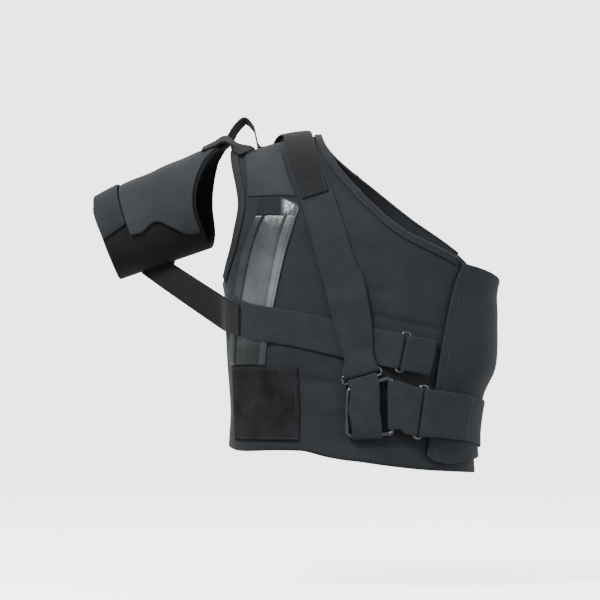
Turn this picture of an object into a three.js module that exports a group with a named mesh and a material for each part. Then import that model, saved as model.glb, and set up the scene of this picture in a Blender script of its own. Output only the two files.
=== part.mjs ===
// A one-shoulder brace in the form it has when worn: a wrap vest with one shoulder, a cuff for the
// raised upper arm, and the webbing and rings that hold the two together.
// Millimetres. x runs to the wearer's left, y to the wearer's back, z up.
// The origin is the point inside the vest that rests on top of the shoulder.
import * as THREE from 'three';

const { PI, sin, cos, abs, sign, min, max, hypot, atan2, asin } = Math;
const degrees = (angle) => angle * PI / 180;

// The body that the brace is fitted to
const CHEST_WIDTH = 369;
const CHEST_DEPTH = 236;
const VEST_HEIGHT = 459;
const DOME_HEIGHT = 150;
const BODY_ROUNDNESS = 2.5;
const SHOULDER_REST_OUT = 110;

// Cloth, webbing and clearances
const VEST_WALL = 4;
const FLAP_WALL = 3.5;
const PATCH_WALL = 2;
const PANEL_WALL = 1.2;
const TRIM_WALL = 1.8;
const BINDING_WALL = 1.2;
const BINDING_WIDTH = 8;
const WEBBING = 2.2;
const SEAT_GAP = 0.8;
const FLAP_GAP = 2.7;
const TAPE_GAP = 1.5;
const EDGE_GAP = 2.4;
const SEAM_GAP = 0.6;

// Straps and rings
const STRAP_WIDTH = 48;
const SHOULDER_STRAP_TOP_WIDTH = 36;
const TAB_WIDTH = 38;
const WAIST_STRAP_WIDTH = 66;
const LINK_WIDTH = 41;
const LOOP_WIDTH = 22;
const RING_WIRE = 4;
const RING_SLOT = 7;
const RING_CLEARANCE = 1.5;
const CENTRE_RING_BAR = 6;
const FOLD_RETURN = 2;

// The arm cuff, its axis running down and back from the shoulder
const ARM_DROP = degrees(21);
const ARM_BACK = degrees(8);
const CUFF_BORE_UPPER = 62;
const CUFF_BORE_LOWER = 55;
const CUFF_LENGTH = 188;
const CUFF_WALL = 4;
const CUFF_FLAP_WALL = 2.5;
const CUFF_BAND_WALL = 3.5;
const CUFF_BAND_WIDTH = 37;

const HALF_CHEST = CHEST_WIDTH / 2;
const HALF_DEPTH = CHEST_DEPTH / 2;

// Torso cross-sections. down is a share of the vest's height from the shoulder rest;
// width, shift, front and back are shares of half the chest's width or depth.
const TORSO_SECTIONS = [
  { down: -0.08, width: 1.31, shift: 0.000, front: 0.86, back: 0.98 },
  { down: 0.000, width: 1.30, shift: 0.000, front: 0.88, back: 0.99 },
  { down: 0.090, width: 1.27, shift: 0.000, front: 0.92, back: 1.00 },
  { down: 0.210, width: 1.18, shift: 0.000, front: 0.97, back: 1.01 },
  { down: 0.330, width: 1.08, shift: 0.000, front: 1.00, back: 1.01 },
  { down: 0.445, width: 1.00, shift: 0.002, front: 1.01, back: 1.00 },
  { down: 0.530, width: 0.995, shift: 0.008, front: 1.00, back: 0.98 },
  { down: 0.670, width: 0.980, shift: 0.010, front: 0.98, back: 0.93 },
  { down: 0.745, width: 0.932, shift: -0.023, front: 0.97, back: 0.90 },
  { down: 0.815, width: 0.908, shift: -0.038, front: 0.97, back: 0.88 },
  { down: 0.890, width: 0.904, shift: -0.052, front: 0.98, back: 0.88 },
  { down: 1.010, width: 0.919, shift: -0.053, front: 1.00, back: 0.90 },
];

// Height of the shoulder's ridge. out is a share of half the chest's width, rise of the dome's height.
const SHOULDER_LINE = [
  { out: -1.40, rise: -0.26 },
  { out: -1.10, rise: -0.12 },
  { out: -0.95, rise: -0.09 },
  { out: -0.79, rise: -0.07 },
  { out: -0.67, rise: -0.025 },
  { out: -0.596, rise: 0.000 },
  { out: -0.46, rise: 0.036 },
  { out: -0.30, rise: 0.056 },
  { out: -0.10, rise: 0.086 },
  { out: 1.40, rise: 0.086 },
];

// The vest's two panels, row by row from the hem to the shoulder seam. Each row runs from the arm side
// to the neck side; across is a share of half the chest's width, up of the vest's height.
const FRONT_ROWS = [
  { armAcross: -1.30, armUp: -0.915, neckAcross: 1.30, neckUp: -0.995 },
  { armAcross: -1.30, armUp: -0.740, neckAcross: 1.30, neckUp: -0.760 },
  { armAcross: -1.30, armUp: -0.570, neckAcross: 1.30, neckUp: -0.580 },
  { armAcross: -1.05, armUp: -0.460, neckAcross: 1.02, neckUp: -0.450 },
  { armAcross: -0.957, armUp: -0.345, neckAcross: 0.735, neckUp: -0.352 },
  { armAcross: -0.912, armUp: -0.262, neckAcross: 0.325, neckUp: -0.266 },
  { armAcross: -0.885, armUp: -0.190, neckAcross: 0.070, neckUp: -0.180 },
  { armAcross: -0.905, armUp: -0.130, neckAcross: -0.105, neckUp: -0.105 },
  { armAcross: -0.935, armUp: -0.078, neckAcross: -0.195, neckUp: -0.056 },
  { armAcross: -0.948, armUp: -0.043, neckAcross: -0.262, neckUp: -0.006 },
  { armAcross: -0.950, armUp: -0.020, neckAcross: -0.295, neckUp: 0.030 },
];
const BACK_ROWS = [
  { armAcross: -1.30, armUp: -0.915, neckAcross: 1.30, neckUp: -0.995 },
  { armAcross: -1.30, armUp: -0.740, neckAcross: 1.30, neckUp: -0.760 },
  { armAcross: -1.30, armUp: -0.570, neckAcross: 1.30, neckUp: -0.580 },
  { armAcross: -1.05, armUp: -0.460, neckAcross: 1.02, neckUp: -0.450 },
  { armAcross: -0.935, armUp: -0.345, neckAcross: 0.760, neckUp: -0.330 },
  { armAcross: -0.890, armUp: -0.262, neckAcross: 0.400, neckUp: -0.225 },
  { armAcross: -0.875, armUp: -0.190, neckAcross: 0.130, neckUp: -0.140 },
  { armAcross: -0.900, armUp: -0.130, neckAcross: -0.080, neckUp: -0.075 },
  { armAcross: -0.935, armUp: -0.078, neckAcross: -0.190, neckUp: -0.036 },
  { armAcross: -0.948, armUp: -0.043, neckAcross: -0.262, neckUp: -0.000 },
  { armAcross: -0.950, armUp: -0.020, neckAcross: -0.295, neckUp: 0.030 },
];

// How far the hem dips below a straight line, as a share of the vest's height. at runs arm side to neck side.
const HEM_DIP = [
  { at: 0.00, dip: 0.000 },
  { at: 0.15, dip: 0.000 },
  { at: 0.39, dip: -0.022 },
  { at: 0.46, dip: -0.008 },
  { at: 0.55, dip: 0.007 },
  { at: 0.66, dip: 0.013 },
  { at: 0.80, dip: 0.010 },
  { at: 1.00, dip: 0.002 },
];

// The closing flap, from its front edge round the wearer's left flank to the back, bottom row first
const FLAP_ROWS = [
  { frontAcross: 0.64, up: -0.968, backUp: -0.930 },
  { frontAcross: 0.51, up: -0.950, backUp: -0.915 },
  { frontAcross: 0.505, up: -0.900, backUp: -0.880 },
  { frontAcross: 0.565, up: -0.720, backUp: -0.740 },
  { frontAcross: 0.625, up: -0.570, backUp: -0.610 },
  { frontAcross: 0.690, up: -0.440, backUp: -0.520 },
  { frontAcross: 0.760, up: -0.362, backUp: -0.455 },
];
const FLAP_BACK_ANGLE = degrees(128);

// The pocket for the stay, bottom row first: outer trim, window and stitched trim, side by side
const POCKET_ROWS = [
  { up: -0.668, left: -0.935, window: -0.900, trim: -0.735, right: -0.690 },
  { up: -0.570, left: -0.935, window: -0.890, trim: -0.712, right: -0.664 },
  { up: -0.450, left: -0.905, window: -0.850, trim: -0.665, right: -0.610 },
  { up: -0.345, left: -0.868, window: -0.805, trim: -0.620, right: -0.555 },
  { up: -0.270, left: -0.815, window: -0.755, trim: -0.575, right: -0.500 },
  { up: -0.218, left: -0.765, window: -0.700, trim: -0.530, right: -0.462 },
];
const POCKET_CAP_ROWS = [
  { up: -0.214, left: -0.765, right: -0.462 },
  { up: -0.190, left: -0.745, right: -0.455 },
  { up: -0.168, left: -0.730, right: -0.590 },
];
const SHOULDER_PANEL_ROWS = [
  { up: -0.164, left: -0.825, right: -0.472 },
  { up: -0.110, left: -0.830, right: -0.525 },
  { up: -0.055, left: -0.850, right: -0.560 },
  { up: -0.034, left: -0.858, right: -0.575 },
];
const HOOK_PATCH_ROWS = [
  { up: -0.895, left: -0.900, right: -0.440 },
  { up: -0.790, left: -0.910, right: -0.440 },
  { up: -0.675, left: -0.920, right: -0.455 },
];

// Where the rings sit on the front and how far their straps lean
const SHOULDER_RING = { across: 0.019, up: -0.699, lean: degrees(-74.5) };
const ARM_RING = { across: 0.320, up: -0.628, lean: degrees(-12) };
const WAIST_RING = { across: 0.434, up: -0.808, lean: degrees(-8) };
const CENTRE_RING_DROP = 41;
const CENTRE_RING = { across: 0.081, up: SHOULDER_RING.up - CENTRE_RING_DROP / VEST_HEIGHT, lean: 0 };
// Corners of the centre ring's bars from its middle
const CENTRE_RING_CORNERS = [
  { right: -31, rise: 21 }, { right: 30, rise: 39 }, { right: 31, rise: -39 }, { right: -32, rise: -42 },
];

// Courses of the straps over the torso
const SHOULDER_COURSE = [
  { across: -0.62, up: -0.170, side: 1 }, { across: -0.53, up: -0.040, side: 1 },
  { across: -0.465, up: 0.300, side: -1 }, { across: -0.415, up: -0.060, side: -1 },
  { across: -0.335, up: -0.150, side: -1 }, { across: -0.155, up: -0.396, side: -1 },
  { across: 0.019, up: -0.699, side: -1 },
];
const TAB_COURSE = [
  { across: -0.66, up: -0.215, side: 1 }, { across: -0.57, up: -0.055, side: 1 },
  { across: -0.468, up: 0.300, side: -1 }, { across: -0.415, up: -0.060, side: -1 },
  { across: -0.327, up: -0.165, side: -1 },
];
const ARM_COURSE = [
  { across: -0.925, up: -0.505, side: -1 }, { across: -0.85, up: -0.527, side: -1 },
  { across: -0.440, up: -0.561, side: -1 }, { across: -0.098, up: -0.593, side: -1 },
  { across: 0.320, up: -0.628, side: -1 },
];
const ARM_TAB_COURSE = [
  { across: 0.320, up: -0.628, side: -1 }, { across: 0.545, up: -0.645, side: -1 },
];

// The sleeve's ends round the arm. turn is an angle from the top, by way of the front; upper and lower are
// shares of the cuff's length.
const CUFF_ENDS = [
  { turn: 0, upper: -0.13, lower: 0.950 },
  { turn: 20, upper: -0.07, lower: 0.960 },
  { turn: 45, upper: 0.06, lower: 0.975 },
  { turn: 90, upper: 0.215, lower: 0.965 },
  { turn: 135, upper: 0.25, lower: 0.975 },
  { turn: 180, upper: 0.28, lower: 1.000 },
  { turn: 225, upper: 0.25, lower: 1.000 },
  { turn: 270, upper: 0.20, lower: 0.990 },
  { turn: 315, upper: 0.05, lower: 0.965 },
  { turn: 340, upper: -0.07, lower: 0.955 },
  { turn: 360, upper: -0.13, lower: 0.950 },
];
// The cuff's over-flap: how far round the front it reaches, along the arm
const CUFF_FLAP_EDGE = [
  { along: 0.00, turn: 128 },
  { along: 0.15, turn: 124 },
  { along: 0.28, turn: 109 },
  { along: 0.40, turn: 97 },
  { along: 0.48, turn: 95 },
  { along: 0.56, turn: 98 },
  { along: 0.63, turn: 101 },
  { along: 0.72, turn: 100 },
];

// A smooth reading of one column of a table at a place between its rows.
function read(table, key, column, at) {
  const last = table.length - 1;
  const ordered = table[0][key] < table[last][key] ? 1 : -1;
  const clamped = ordered > 0
    ? min(max(at, table[0][key]), table[last][key])
    : max(min(at, table[0][key]), table[last][key]);
  let i = 0;
  while (i < last - 1 && ordered * (clamped - table[i + 1][key]) > 0) i += 1;
  const before = table[max(i - 1, 0)];
  const low = table[i];
  const high = table[i + 1];
  const after = table[min(i + 2, last)];
  const step = high[key] - low[key];
  const t = (clamped - low[key]) / step;
  const slopeLow = (high[column] - before[column]) / (high[key] - before[key]) * step;
  const slopeHigh = (after[column] - low[column]) / (after[key] - low[key]) * step;
  const t2 = t * t;
  const t3 = t2 * t;
  return (2 * t3 - 3 * t2 + 1) * low[column] + (t3 - 2 * t2 + t) * slopeLow
    + (3 * t2 - 2 * t3) * high[column] + (t3 - t2) * slopeHigh;
}

// The same for a table read by its row number, as a share of all rows.
const readRow = (table, column, share) =>
  read(table.map((row, i) => ({ ...row, row: i / (table.length - 1) })), 'row', column, share);

const powered = (value, power) => sign(value) * abs(value) ** power;
const smooth = (t) => { const k = min(max(t, 0), 1); return k * k * (3 - 2 * k); };
const lerp = THREE.MathUtils.lerp;

// The body's skin. turn goes round the torso from the front, climb is millimetres up the skin from the
// level where the shoulder's dome begins; past DOME_TOP it runs over the ridge and down the back.
const DOME_TOP = DOME_HEIGHT * PI / 2;
const ridgeAt = (x) => DOME_HEIGHT * read(SHOULDER_LINE, 'out', 'rise', x / HALF_CHEST);
const sectionAt = (level, column) => read(TORSO_SECTIONS, 'down', column, -level / VEST_HEIGHT);

function skin({ turn, climb }) {
  let t = turn;
  let c = climb;
  if (c > DOME_TOP) {
    c = 2 * DOME_TOP - c;
    t = PI - t;
  }
  const swing = max(c, 0) / DOME_HEIGHT;
  const level = c > 0 ? DOME_HEIGHT * (sin(swing) - 1) : c - DOME_HEIGHT;
  const x = HALF_CHEST * (sectionAt(level, 'shift')
    + sectionAt(level, 'width') * powered(sin(t), 2 / BODY_ROUNDNESS));
  const depth = HALF_DEPTH * sectionAt(level, cos(t) > 0 ? 'front' : 'back');
  const y = -depth * powered(cos(t), 2 / BODY_ROUNDNESS) * cos(swing);
  const z = c > 0 ? (ridgeAt(x) + DOME_HEIGHT) * sin(swing) - DOME_HEIGHT : level;
  return new THREE.Vector3(x, y, z);
}

const TURN_STEP = 0.02;
const CLIMB_STEP = 3;

function slopes(spot) {
  const round = skin({ turn: spot.turn + TURN_STEP, climb: spot.climb })
    .sub(skin({ turn: spot.turn - TURN_STEP, climb: spot.climb })).divideScalar(2 * TURN_STEP);
  const up = skin({ turn: spot.turn, climb: spot.climb + CLIMB_STEP })
    .sub(skin({ turn: spot.turn, climb: spot.climb - CLIMB_STEP })).divideScalar(2 * CLIMB_STEP);
  return { round, up, out: new THREE.Vector3().crossVectors(round, up).normalize() };
}

const lay = (spot, lift) => skin(spot).addScaledVector(slopes(spot).out, lift);

// The spot on the skin at a place seen from the front, in millimetres. side is -1 for the front.
function spotAt(x, z, side) {
  const reach = (z + DOME_HEIGHT) / (ridgeAt(x) + DOME_HEIGHT);
  const swing = asin(min(max(reach, 0), 1));
  const climb = z > -DOME_HEIGHT ? swing * DOME_HEIGHT : z + DOME_HEIGHT;
  const level = z > -DOME_HEIGHT ? DOME_HEIGHT * (sin(swing) - 1) : z;
  const share = (x / HALF_CHEST - sectionAt(level, 'shift')) / sectionAt(level, 'width');
  const turn = asin(powered(min(max(share, -1), 1), BODY_ROUNDNESS / 2));
  return { turn: side < 0 ? turn : PI - turn, climb };
}

const placed = ({ across, up, side = -1 }) => spotAt(across * HALF_CHEST, up * VEST_HEIGHT, side);

// The spot on the skin below a point near it.
function spotNear(point) {
  if (point.z > -DOME_HEIGHT) {
    const share = point.x / HALF_CHEST;
    const high = (point.z + DOME_HEIGHT) / (ridgeAt(point.x) + DOME_HEIGHT);
    const depth = HALF_DEPTH * sectionAt(min(point.z, 0), point.y < 0 ? 'front' : 'back');
    const width = sectionAt(min(point.z, 0), 'width');
    const girth = max(1 - min(abs(share / width), 1) ** BODY_ROUNDNESS, 1e-4) ** (1 / BODY_ROUNDNESS);
    const swing = atan2(high, abs(point.y) / (depth * girth));
    const level = DOME_HEIGHT * (sin(swing) - 1);
    const near = (share - sectionAt(level, 'shift')) / sectionAt(level, 'width');
    const turn = asin(powered(min(max(near, -1), 1), BODY_ROUNDNESS / 2));
    return { turn: point.y < 0 ? turn : PI - turn, climb: swing * DOME_HEIGHT };
  }
  const x = (point.x / HALF_CHEST - sectionAt(point.z, 'shift')) / sectionAt(point.z, 'width');
  const y = -point.y / (HALF_DEPTH * sectionAt(point.z, point.y < 0 ? 'front' : 'back'));
  const turn = atan2(powered(x, BODY_ROUNDNESS / 2), powered(y, BODY_ROUNDNESS / 2));
  return { turn, climb: point.z + DOME_HEIGHT };
}

// A closed solid between an inner and an outer sheet of points. place takes shares along and across and
// tells which sheet; loop joins the last column to the first.
function sheet(columns, rows, place, loop = false) {
  const across = rows + 1;
  const along = loop ? columns : columns + 1;
  const points = [];
  for (const outer of [false, true]) {
    for (let i = 0; i < along; i += 1) {
      for (let j = 0; j <= rows; j += 1) points.push(place(i / columns, j / rows, outer));
    }
  }
  const at = (outer, i, j) => (outer ? along * across : 0) + (i % along) * across + j;
  const faces = [];
  const quad = (a, b, c, d) => faces.push(a, b, c, a, c, d);
  for (let i = 0; i < columns; i += 1) {
    for (let j = 0; j < rows; j += 1) {
      quad(at(true, i, j), at(true, i + 1, j), at(true, i + 1, j + 1), at(true, i, j + 1));
      quad(at(false, i, j), at(false, i, j + 1), at(false, i + 1, j + 1), at(false, i + 1, j));
    }
    quad(at(false, i, 0), at(false, i + 1, 0), at(true, i + 1, 0), at(true, i, 0));
    quad(at(true, i, rows), at(true, i + 1, rows), at(false, i + 1, rows), at(false, i, rows));
  }
  if (!loop) {
    for (let j = 0; j < rows; j += 1) {
      quad(at(false, 0, j), at(true, 0, j), at(true, 0, j + 1), at(false, 0, j + 1));
      quad(at(true, columns, j), at(false, columns, j), at(false, columns, j + 1), at(true, columns, j + 1));
    }
  }
  return closed(points, faces);
}

// A section of points swept along stations; loop closes the sweep on itself.
function sweep(stations, sides, place, loop = false) {
  const rings = loop ? stations : stations + 1;
  const points = [];
  for (let i = 0; i < rings; i += 1) {
    for (let k = 0; k < sides; k += 1) points.push(place(i / stations, k));
  }
  const at = (i, k) => (i % rings) * sides + (k % sides);
  const faces = [];
  for (let i = 0; i < stations; i += 1) {
    for (let k = 0; k < sides; k += 1) {
      faces.push(at(i, k), at(i + 1, k), at(i + 1, k + 1), at(i, k), at(i + 1, k + 1), at(i, k + 1));
    }
  }
  if (!loop) {
    const flat = (i) => THREE.ShapeUtils.triangulateShape(
      Array.from({ length: sides }, (_, k) => flattened(points, at(0, 0), sides, at(i, k), at(i, 0))), []);
    for (const [a, b, c] of flat(0)) faces.push(at(0, a), at(0, b), at(0, c));
    for (const [a, b, c] of flat(stations)) faces.push(at(stations, a), at(stations, c), at(stations, b));
  }
  return closed(points, faces);
}

// A section's point in the section's own plane.
function flattened(points, first, sides, index, origin) {
  const base = points[origin];
  const axisU = points[origin + 1].clone().sub(base).normalize();
  const other = points[origin + sides - 1].clone().sub(base);
  const axisV = other.addScaledVector(axisU, -other.dot(axisU)).normalize();
  const offset = points[index].clone().sub(base);
  return new THREE.Vector2(offset.dot(axisU), offset.dot(axisV));
}

// The geometry of a closed surface, turned to face outwards.
function closed(points, faces) {
  let volume = 0;
  for (let i = 0; i < faces.length; i += 3) {
    const [a, b, c] = [points[faces[i]], points[faces[i + 1]], points[faces[i + 2]]];
    volume += a.dot(new THREE.Vector3().crossVectors(b, c));
  }
  if (volume < 0) faces.reverse();
  const geometry = new THREE.BufferGeometry().setFromPoints(points);
  geometry.setIndex(faces);
  geometry.computeVertexNormals();
  return geometry;
}

// Materials
const cloth = (color, roughness) => new THREE.MeshStandardMaterial({ color, roughness, metalness: 0 });
const VEST_CLOTH = cloth(0x35383b, 0.85);
const PANEL_CLOTH = cloth(0x46494c, 0.85);
const BINDING_CLOTH = cloth(0x26282b, 0.9);
const WEBBING_CLOTH = cloth(0x36393c, 0.8);
const DARK_WEBBING = cloth(0x1d1f21, 0.9);
const HOOK_CLOTH = cloth(0x1a1b1c, 0.95);
const VINYL = cloth(0x66686c, 0.35);
const VINYL_TRIM = cloth(0x4c4f52, 0.35);
const RING_METAL = new THREE.MeshStandardMaterial({ color: 0x303236, roughness: 0.25, metalness: 0.8 });

const brace = new THREE.Group();
brace.position.set(SHOULDER_REST_OUT, 0, 0);

function add(name, geometry, material) {
  const mesh = new THREE.Mesh(geometry, material);
  mesh.name = name;
  brace.add(mesh);
}

// The vest's front and back panels, which meet at the sides and along the shoulder's ridge.
const SEAM_TURN = SEAM_GAP / 2 / HALF_DEPTH;

function vestSpot(table, side, along, height) {
  const cell = (column) => readRow(table, column, height);
  const arm = placed({ across: cell('armAcross'), up: cell('armUp'), side });
  const neck = placed({ across: cell('neckAcross'), up: cell('neckUp'), side });
  const dip = read(HEM_DIP, 'at', 'dip', along) * VEST_HEIGHT * (1 - smooth(height * 3));
  const edge = side < 0 ? 0 : PI;
  const limit = PI / 2 - SEAM_TURN;
  const held = (turn) => edge + side * -1 * min(max((turn - edge) * side * -1, -limit), limit);
  return {
    turn: lerp(held(arm.turn), held(neck.turn), along),
    climb: min(lerp(arm.climb, neck.climb, along) - dip, DOME_TOP - SEAM_GAP / 2),
  };
}

const VEST_COLUMNS = 22;
const VEST_ROWS = 20;
const vestPanel = (table, side) => sheet(VEST_COLUMNS, VEST_ROWS, (along, height, outer) =>
  lay(vestSpot(table, side, along, height), outer ? VEST_WALL : 0));

add('vest_front', vestPanel(FRONT_ROWS, -1), VEST_CLOTH);
add('vest_back', vestPanel(BACK_ROWS, 1), VEST_CLOTH);

// Binding tape folded over an edge of the vest: outer leg and lip of an L, run along spots of the edge.
function binding(stations, edge, inward) {
  const section = [
    { in: BINDING_WIDTH, lift: VEST_WALL + TAPE_GAP },
    { in: BINDING_WIDTH, lift: VEST_WALL + TAPE_GAP + BINDING_WALL },
    { in: -EDGE_GAP - BINDING_WALL, lift: VEST_WALL + TAPE_GAP + BINDING_WALL },
    { in: -EDGE_GAP - BINDING_WALL, lift: 0 },
    { in: -EDGE_GAP, lift: 0 },
    { in: -EDGE_GAP, lift: VEST_WALL + TAPE_GAP },
  ];
  return sweep(stations, section.length, (along, k) => {
    const spot = edge(along);
    const run = skin(edge(min(along + 0.02, 1))).sub(skin(edge(max(along - 0.02, 0)))).normalize();
    const towards = skin(inward(along)).sub(skin(spot));
    towards.addScaledVector(run, -towards.dot(run));
    const corner = section[k];
    return lay(shifted(spot, towards.setLength(1).multiplyScalar(corner.in)), corner.lift);
  });
}

// A spot moved by a short vector along the skin.
function shifted(spot, move) {
  const { round, up } = slopes(spot);
  const rr = round.dot(round);
  const uu = up.dot(up);
  const ru = round.dot(up);
  const mr = move.dot(round);
  const mu = move.dot(up);
  const det = rr * uu - ru * ru;
  return { turn: spot.turn + (mr * uu - mu * ru) / det, climb: spot.climb + (mu * rr - mr * ru) / det };
}

// The bindings' stations are the panel's own rows, so that tape and edge keep their gap between them.
const NECK_FIRST_ROW = 8;
const ARM_FIRST_ROW = 7;
const EDGE_INSET = 0.05;
const TAPE_END = 0.995;
const edgeOf = (table, side, along, first) => (share) =>
  vestSpot(table, side, along, min(lerp(first / VEST_ROWS, 1, share), TAPE_END));
for (const [name, table, side] of [['front', FRONT_ROWS, -1], ['back', BACK_ROWS, 1]]) {
  add(`neck_binding_${name}`, binding(VEST_ROWS - NECK_FIRST_ROW, edgeOf(table, side, 1, NECK_FIRST_ROW),
    edgeOf(table, side, 1 - EDGE_INSET, NECK_FIRST_ROW)), BINDING_CLOTH);
  add(`arm_binding_${name}`, binding(VEST_ROWS - ARM_FIRST_ROW, edgeOf(table, side, 0, ARM_FIRST_ROW),
    edgeOf(table, side, EDGE_INSET, ARM_FIRST_ROW)), BINDING_CLOTH);
}

// Panels and patches laid on the front, each between two side edges read from its rows.
function patch(columns, rows, table, left, right, lift, wall) {
  return sheet(columns, rows, (across, height, outer) => {
    const up = readRow(table, 'up', height);
    const from = placed({ across: readRow(table, left, height), up });
    const to = placed({ across: readRow(table, right, height), up });
    const spot = { turn: lerp(from.turn, to.turn, across), climb: lerp(from.climb, to.climb, across) };
    return lay(spot, lift + (outer ? wall : 0));
  });
}

const ON_VEST = VEST_WALL + SEAT_GAP;
const SIDE_BY_SIDE = SEAT_GAP / HALF_CHEST;
const spaced = (table, key, by) => table.map((row) => ({ ...row, [key]: row[key] + by }));
add('shoulder_panel', patch(6, 6, SHOULDER_PANEL_ROWS, 'left', 'right', ON_VEST, PANEL_WALL), PANEL_CLOTH);
add('pocket_window', patch(4, 10, spaced(spaced(POCKET_ROWS, 'window', SIDE_BY_SIDE), 'trim', -SIDE_BY_SIDE),
  'window', 'trim', ON_VEST, PANEL_WALL), VINYL);
add('pocket_trim_outer', patch(2, 12, POCKET_ROWS, 'left', 'window', ON_VEST, TRIM_WALL), VINYL_TRIM);
add('pocket_trim_inner', patch(2, 12, POCKET_ROWS, 'trim', 'right', ON_VEST, TRIM_WALL), VINYL_TRIM);
add('pocket_cap', patch(6, 3, POCKET_CAP_ROWS, 'left', 'right', ON_VEST, TRIM_WALL), VINYL_TRIM);
const ON_TAPE = VEST_WALL + TAPE_GAP;
add('hook_patch', patch(6, 6, HOOK_PATCH_ROWS, 'left', 'right', ON_TAPE, PATCH_WALL), HOOK_CLOTH);

// The closing flap, which wraps the flank over both panels.
add('side_flap', sheet(16, 10, (along, height, outer) => {
  const cell = (column) => readRow(FLAP_ROWS, column, height);
  const front = placed({ across: cell('frontAcross'), up: cell('up') });
  const back = DOME_HEIGHT + cell('backUp') * VEST_HEIGHT;
  const spot = { turn: lerp(front.turn, FLAP_BACK_ANGLE, along), climb: lerp(front.climb, back, along) };
  return lay(spot, VEST_WALL + FLAP_GAP + (outer ? FLAP_WALL : 0));
}), VEST_CLOTH);

// A flat frame on the skin: its origin, the way its strap runs, across the strap, and outwards.
function seatOf({ across, up, lean }, lift) {
  const spot = placed({ across, up });
  const { out } = slopes(spot);
  const run = new THREE.Vector3(cos(lean), 0, sin(lean));
  run.addScaledVector(out, -run.dot(out)).normalize();
  return { origin: lay(spot, lift), run, cross: new THREE.Vector3().crossVectors(out, run), out };
}

const inSeat = (seat, run, cross, out) => seat.origin.clone()
  .addScaledVector(seat.run, run).addScaledVector(seat.cross, cross).addScaledVector(seat.out, out);

// A track is a line over the skin with flat seats along it, where a strap meets a bar.
const FLAT_REACH = 9;
const FLAT_FADE = 26;

function track(course, seats = []) {
  const curve = new THREE.CatmullRomCurve3(course.map((stop) => skin(placed(stop))), false, 'centripetal');
  const length = curve.getLength();
  const placedSeats = seats.map((seat) => ({ ...seat, at: seat.at === 'end' ? length : 0 }));
  return { curve, length, fade: FLAT_FADE, seats: placedSeats };
}

function onTrack(line, s, cross, lift) {
  const share = min(max(s / line.length, 0), 1);
  const over = s - share * line.length;
  const run = line.curve.getTangentAt(share);
  const spot = spotNear(line.curve.getPointAt(share).addScaledVector(run, over));
  const { out } = slopes(spot);
  run.addScaledVector(out, -run.dot(out)).normalize();
  const sideways = new THREE.Vector3().crossVectors(out, run);
  const point = lay(shifted(spot, sideways.multiplyScalar(cross)), lift);
  for (const seat of line.seats) {
    const weight = 1 - smooth((abs(s - seat.at) - FLAT_REACH) / (line.fade - FLAT_REACH));
    point.lerp(inSeat(seat.frame, s - seat.at, cross, lift - seat.base), weight);
  }
  return point;
}

const STRAP_COLUMNS = 2;
// A strap's thickness drawn as a path of stops along the track, with s along it and lift above the skin.
// The path is offset to both faces and spread to the strap's width.
function strap(line, path, widthAt, thickness, loop = false) {
  const count = path.length;
  const normals = path.map((_, i) => {
    const before = path[loop ? (i + count - 1) % count : max(i - 1, 0)];
    const after = path[loop ? (i + 1) % count : min(i + 1, count - 1)];
    const [ds, dl] = [after.s - before.s, after.lift - before.lift];
    const size = hypot(ds, dl);
    return { s: -dl / size, lift: ds / size };
  });
  const columns = loop ? count : count - 1;
  return sheet(columns, STRAP_COLUMNS, (along, across, outer) => {
    const i = Math.round(along * columns);
    const half = (outer ? 0.5 : -0.5) * thickness;
    const s = path[i].s + normals[i].s * half;
    const lift = path[i].lift + normals[i].lift * half;
    return onTrack(line, s, (across - 0.5) * widthAt(path[i].s), lift);
  }, loop);
}

const TURN_STOPS = 6;
// Stops of a half turn round a bar at s, from above it to below it, or back. way is 1 for a turn past
// the bar.
function halfTurn(s, lift, radius, way, fromTop) {
  return Array.from({ length: TURN_STOPS + 1 }, (_, i) => {
    const angle = PI * i / TURN_STOPS;
    return { s: s + way * radius * sin(angle), lift: lift + (fromTop ? 1 : -1) * radius * cos(angle) };
  });
}

function between(from, to, steps) {
  return Array.from({ length: steps + 1 }, (_, i) => ({
    s: lerp(from.s, to.s, i / steps),
    lift: lerp(from.lift, to.lift, smooth(i / steps)),
  }));
}

const wireTurn = RING_WIRE / 2 + SEAT_GAP + WEBBING / 2;
const barTurn = CENTRE_RING_BAR / 2 + SEAT_GAP + WEBBING / 2;
// Flat rings on a rounded chest need a little more room below them
const FLAT_PLAY = 1;
const LOW_LEG = ON_VEST + WEBBING / 2;
const RING_LIFT = LOW_LEG + wireTurn + FLAT_PLAY;
const overWire = RING_LIFT + wireTurn;
const CENTRE_LIFT = LOW_LEG + barTurn + FLAT_PLAY;
const ON_FLAP = VEST_WALL + FLAP_GAP + FLAP_WALL + SEAT_GAP;
const WAIST_LEG = ON_FLAP + WEBBING / 2 + 1.3;
const WAIST_LIFT = WAIST_LEG + wireTurn;
const BAR_OFFSET = (RING_SLOT + RING_WIRE) / 2;

const shoulderSeat = seatOf(SHOULDER_RING, RING_LIFT);
const armSeat = seatOf(ARM_RING, RING_LIFT);
const waistSeat = seatOf(WAIST_RING, WAIST_LIFT);
const centreSeat = seatOf(CENTRE_RING, CENTRE_LIFT);

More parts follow.
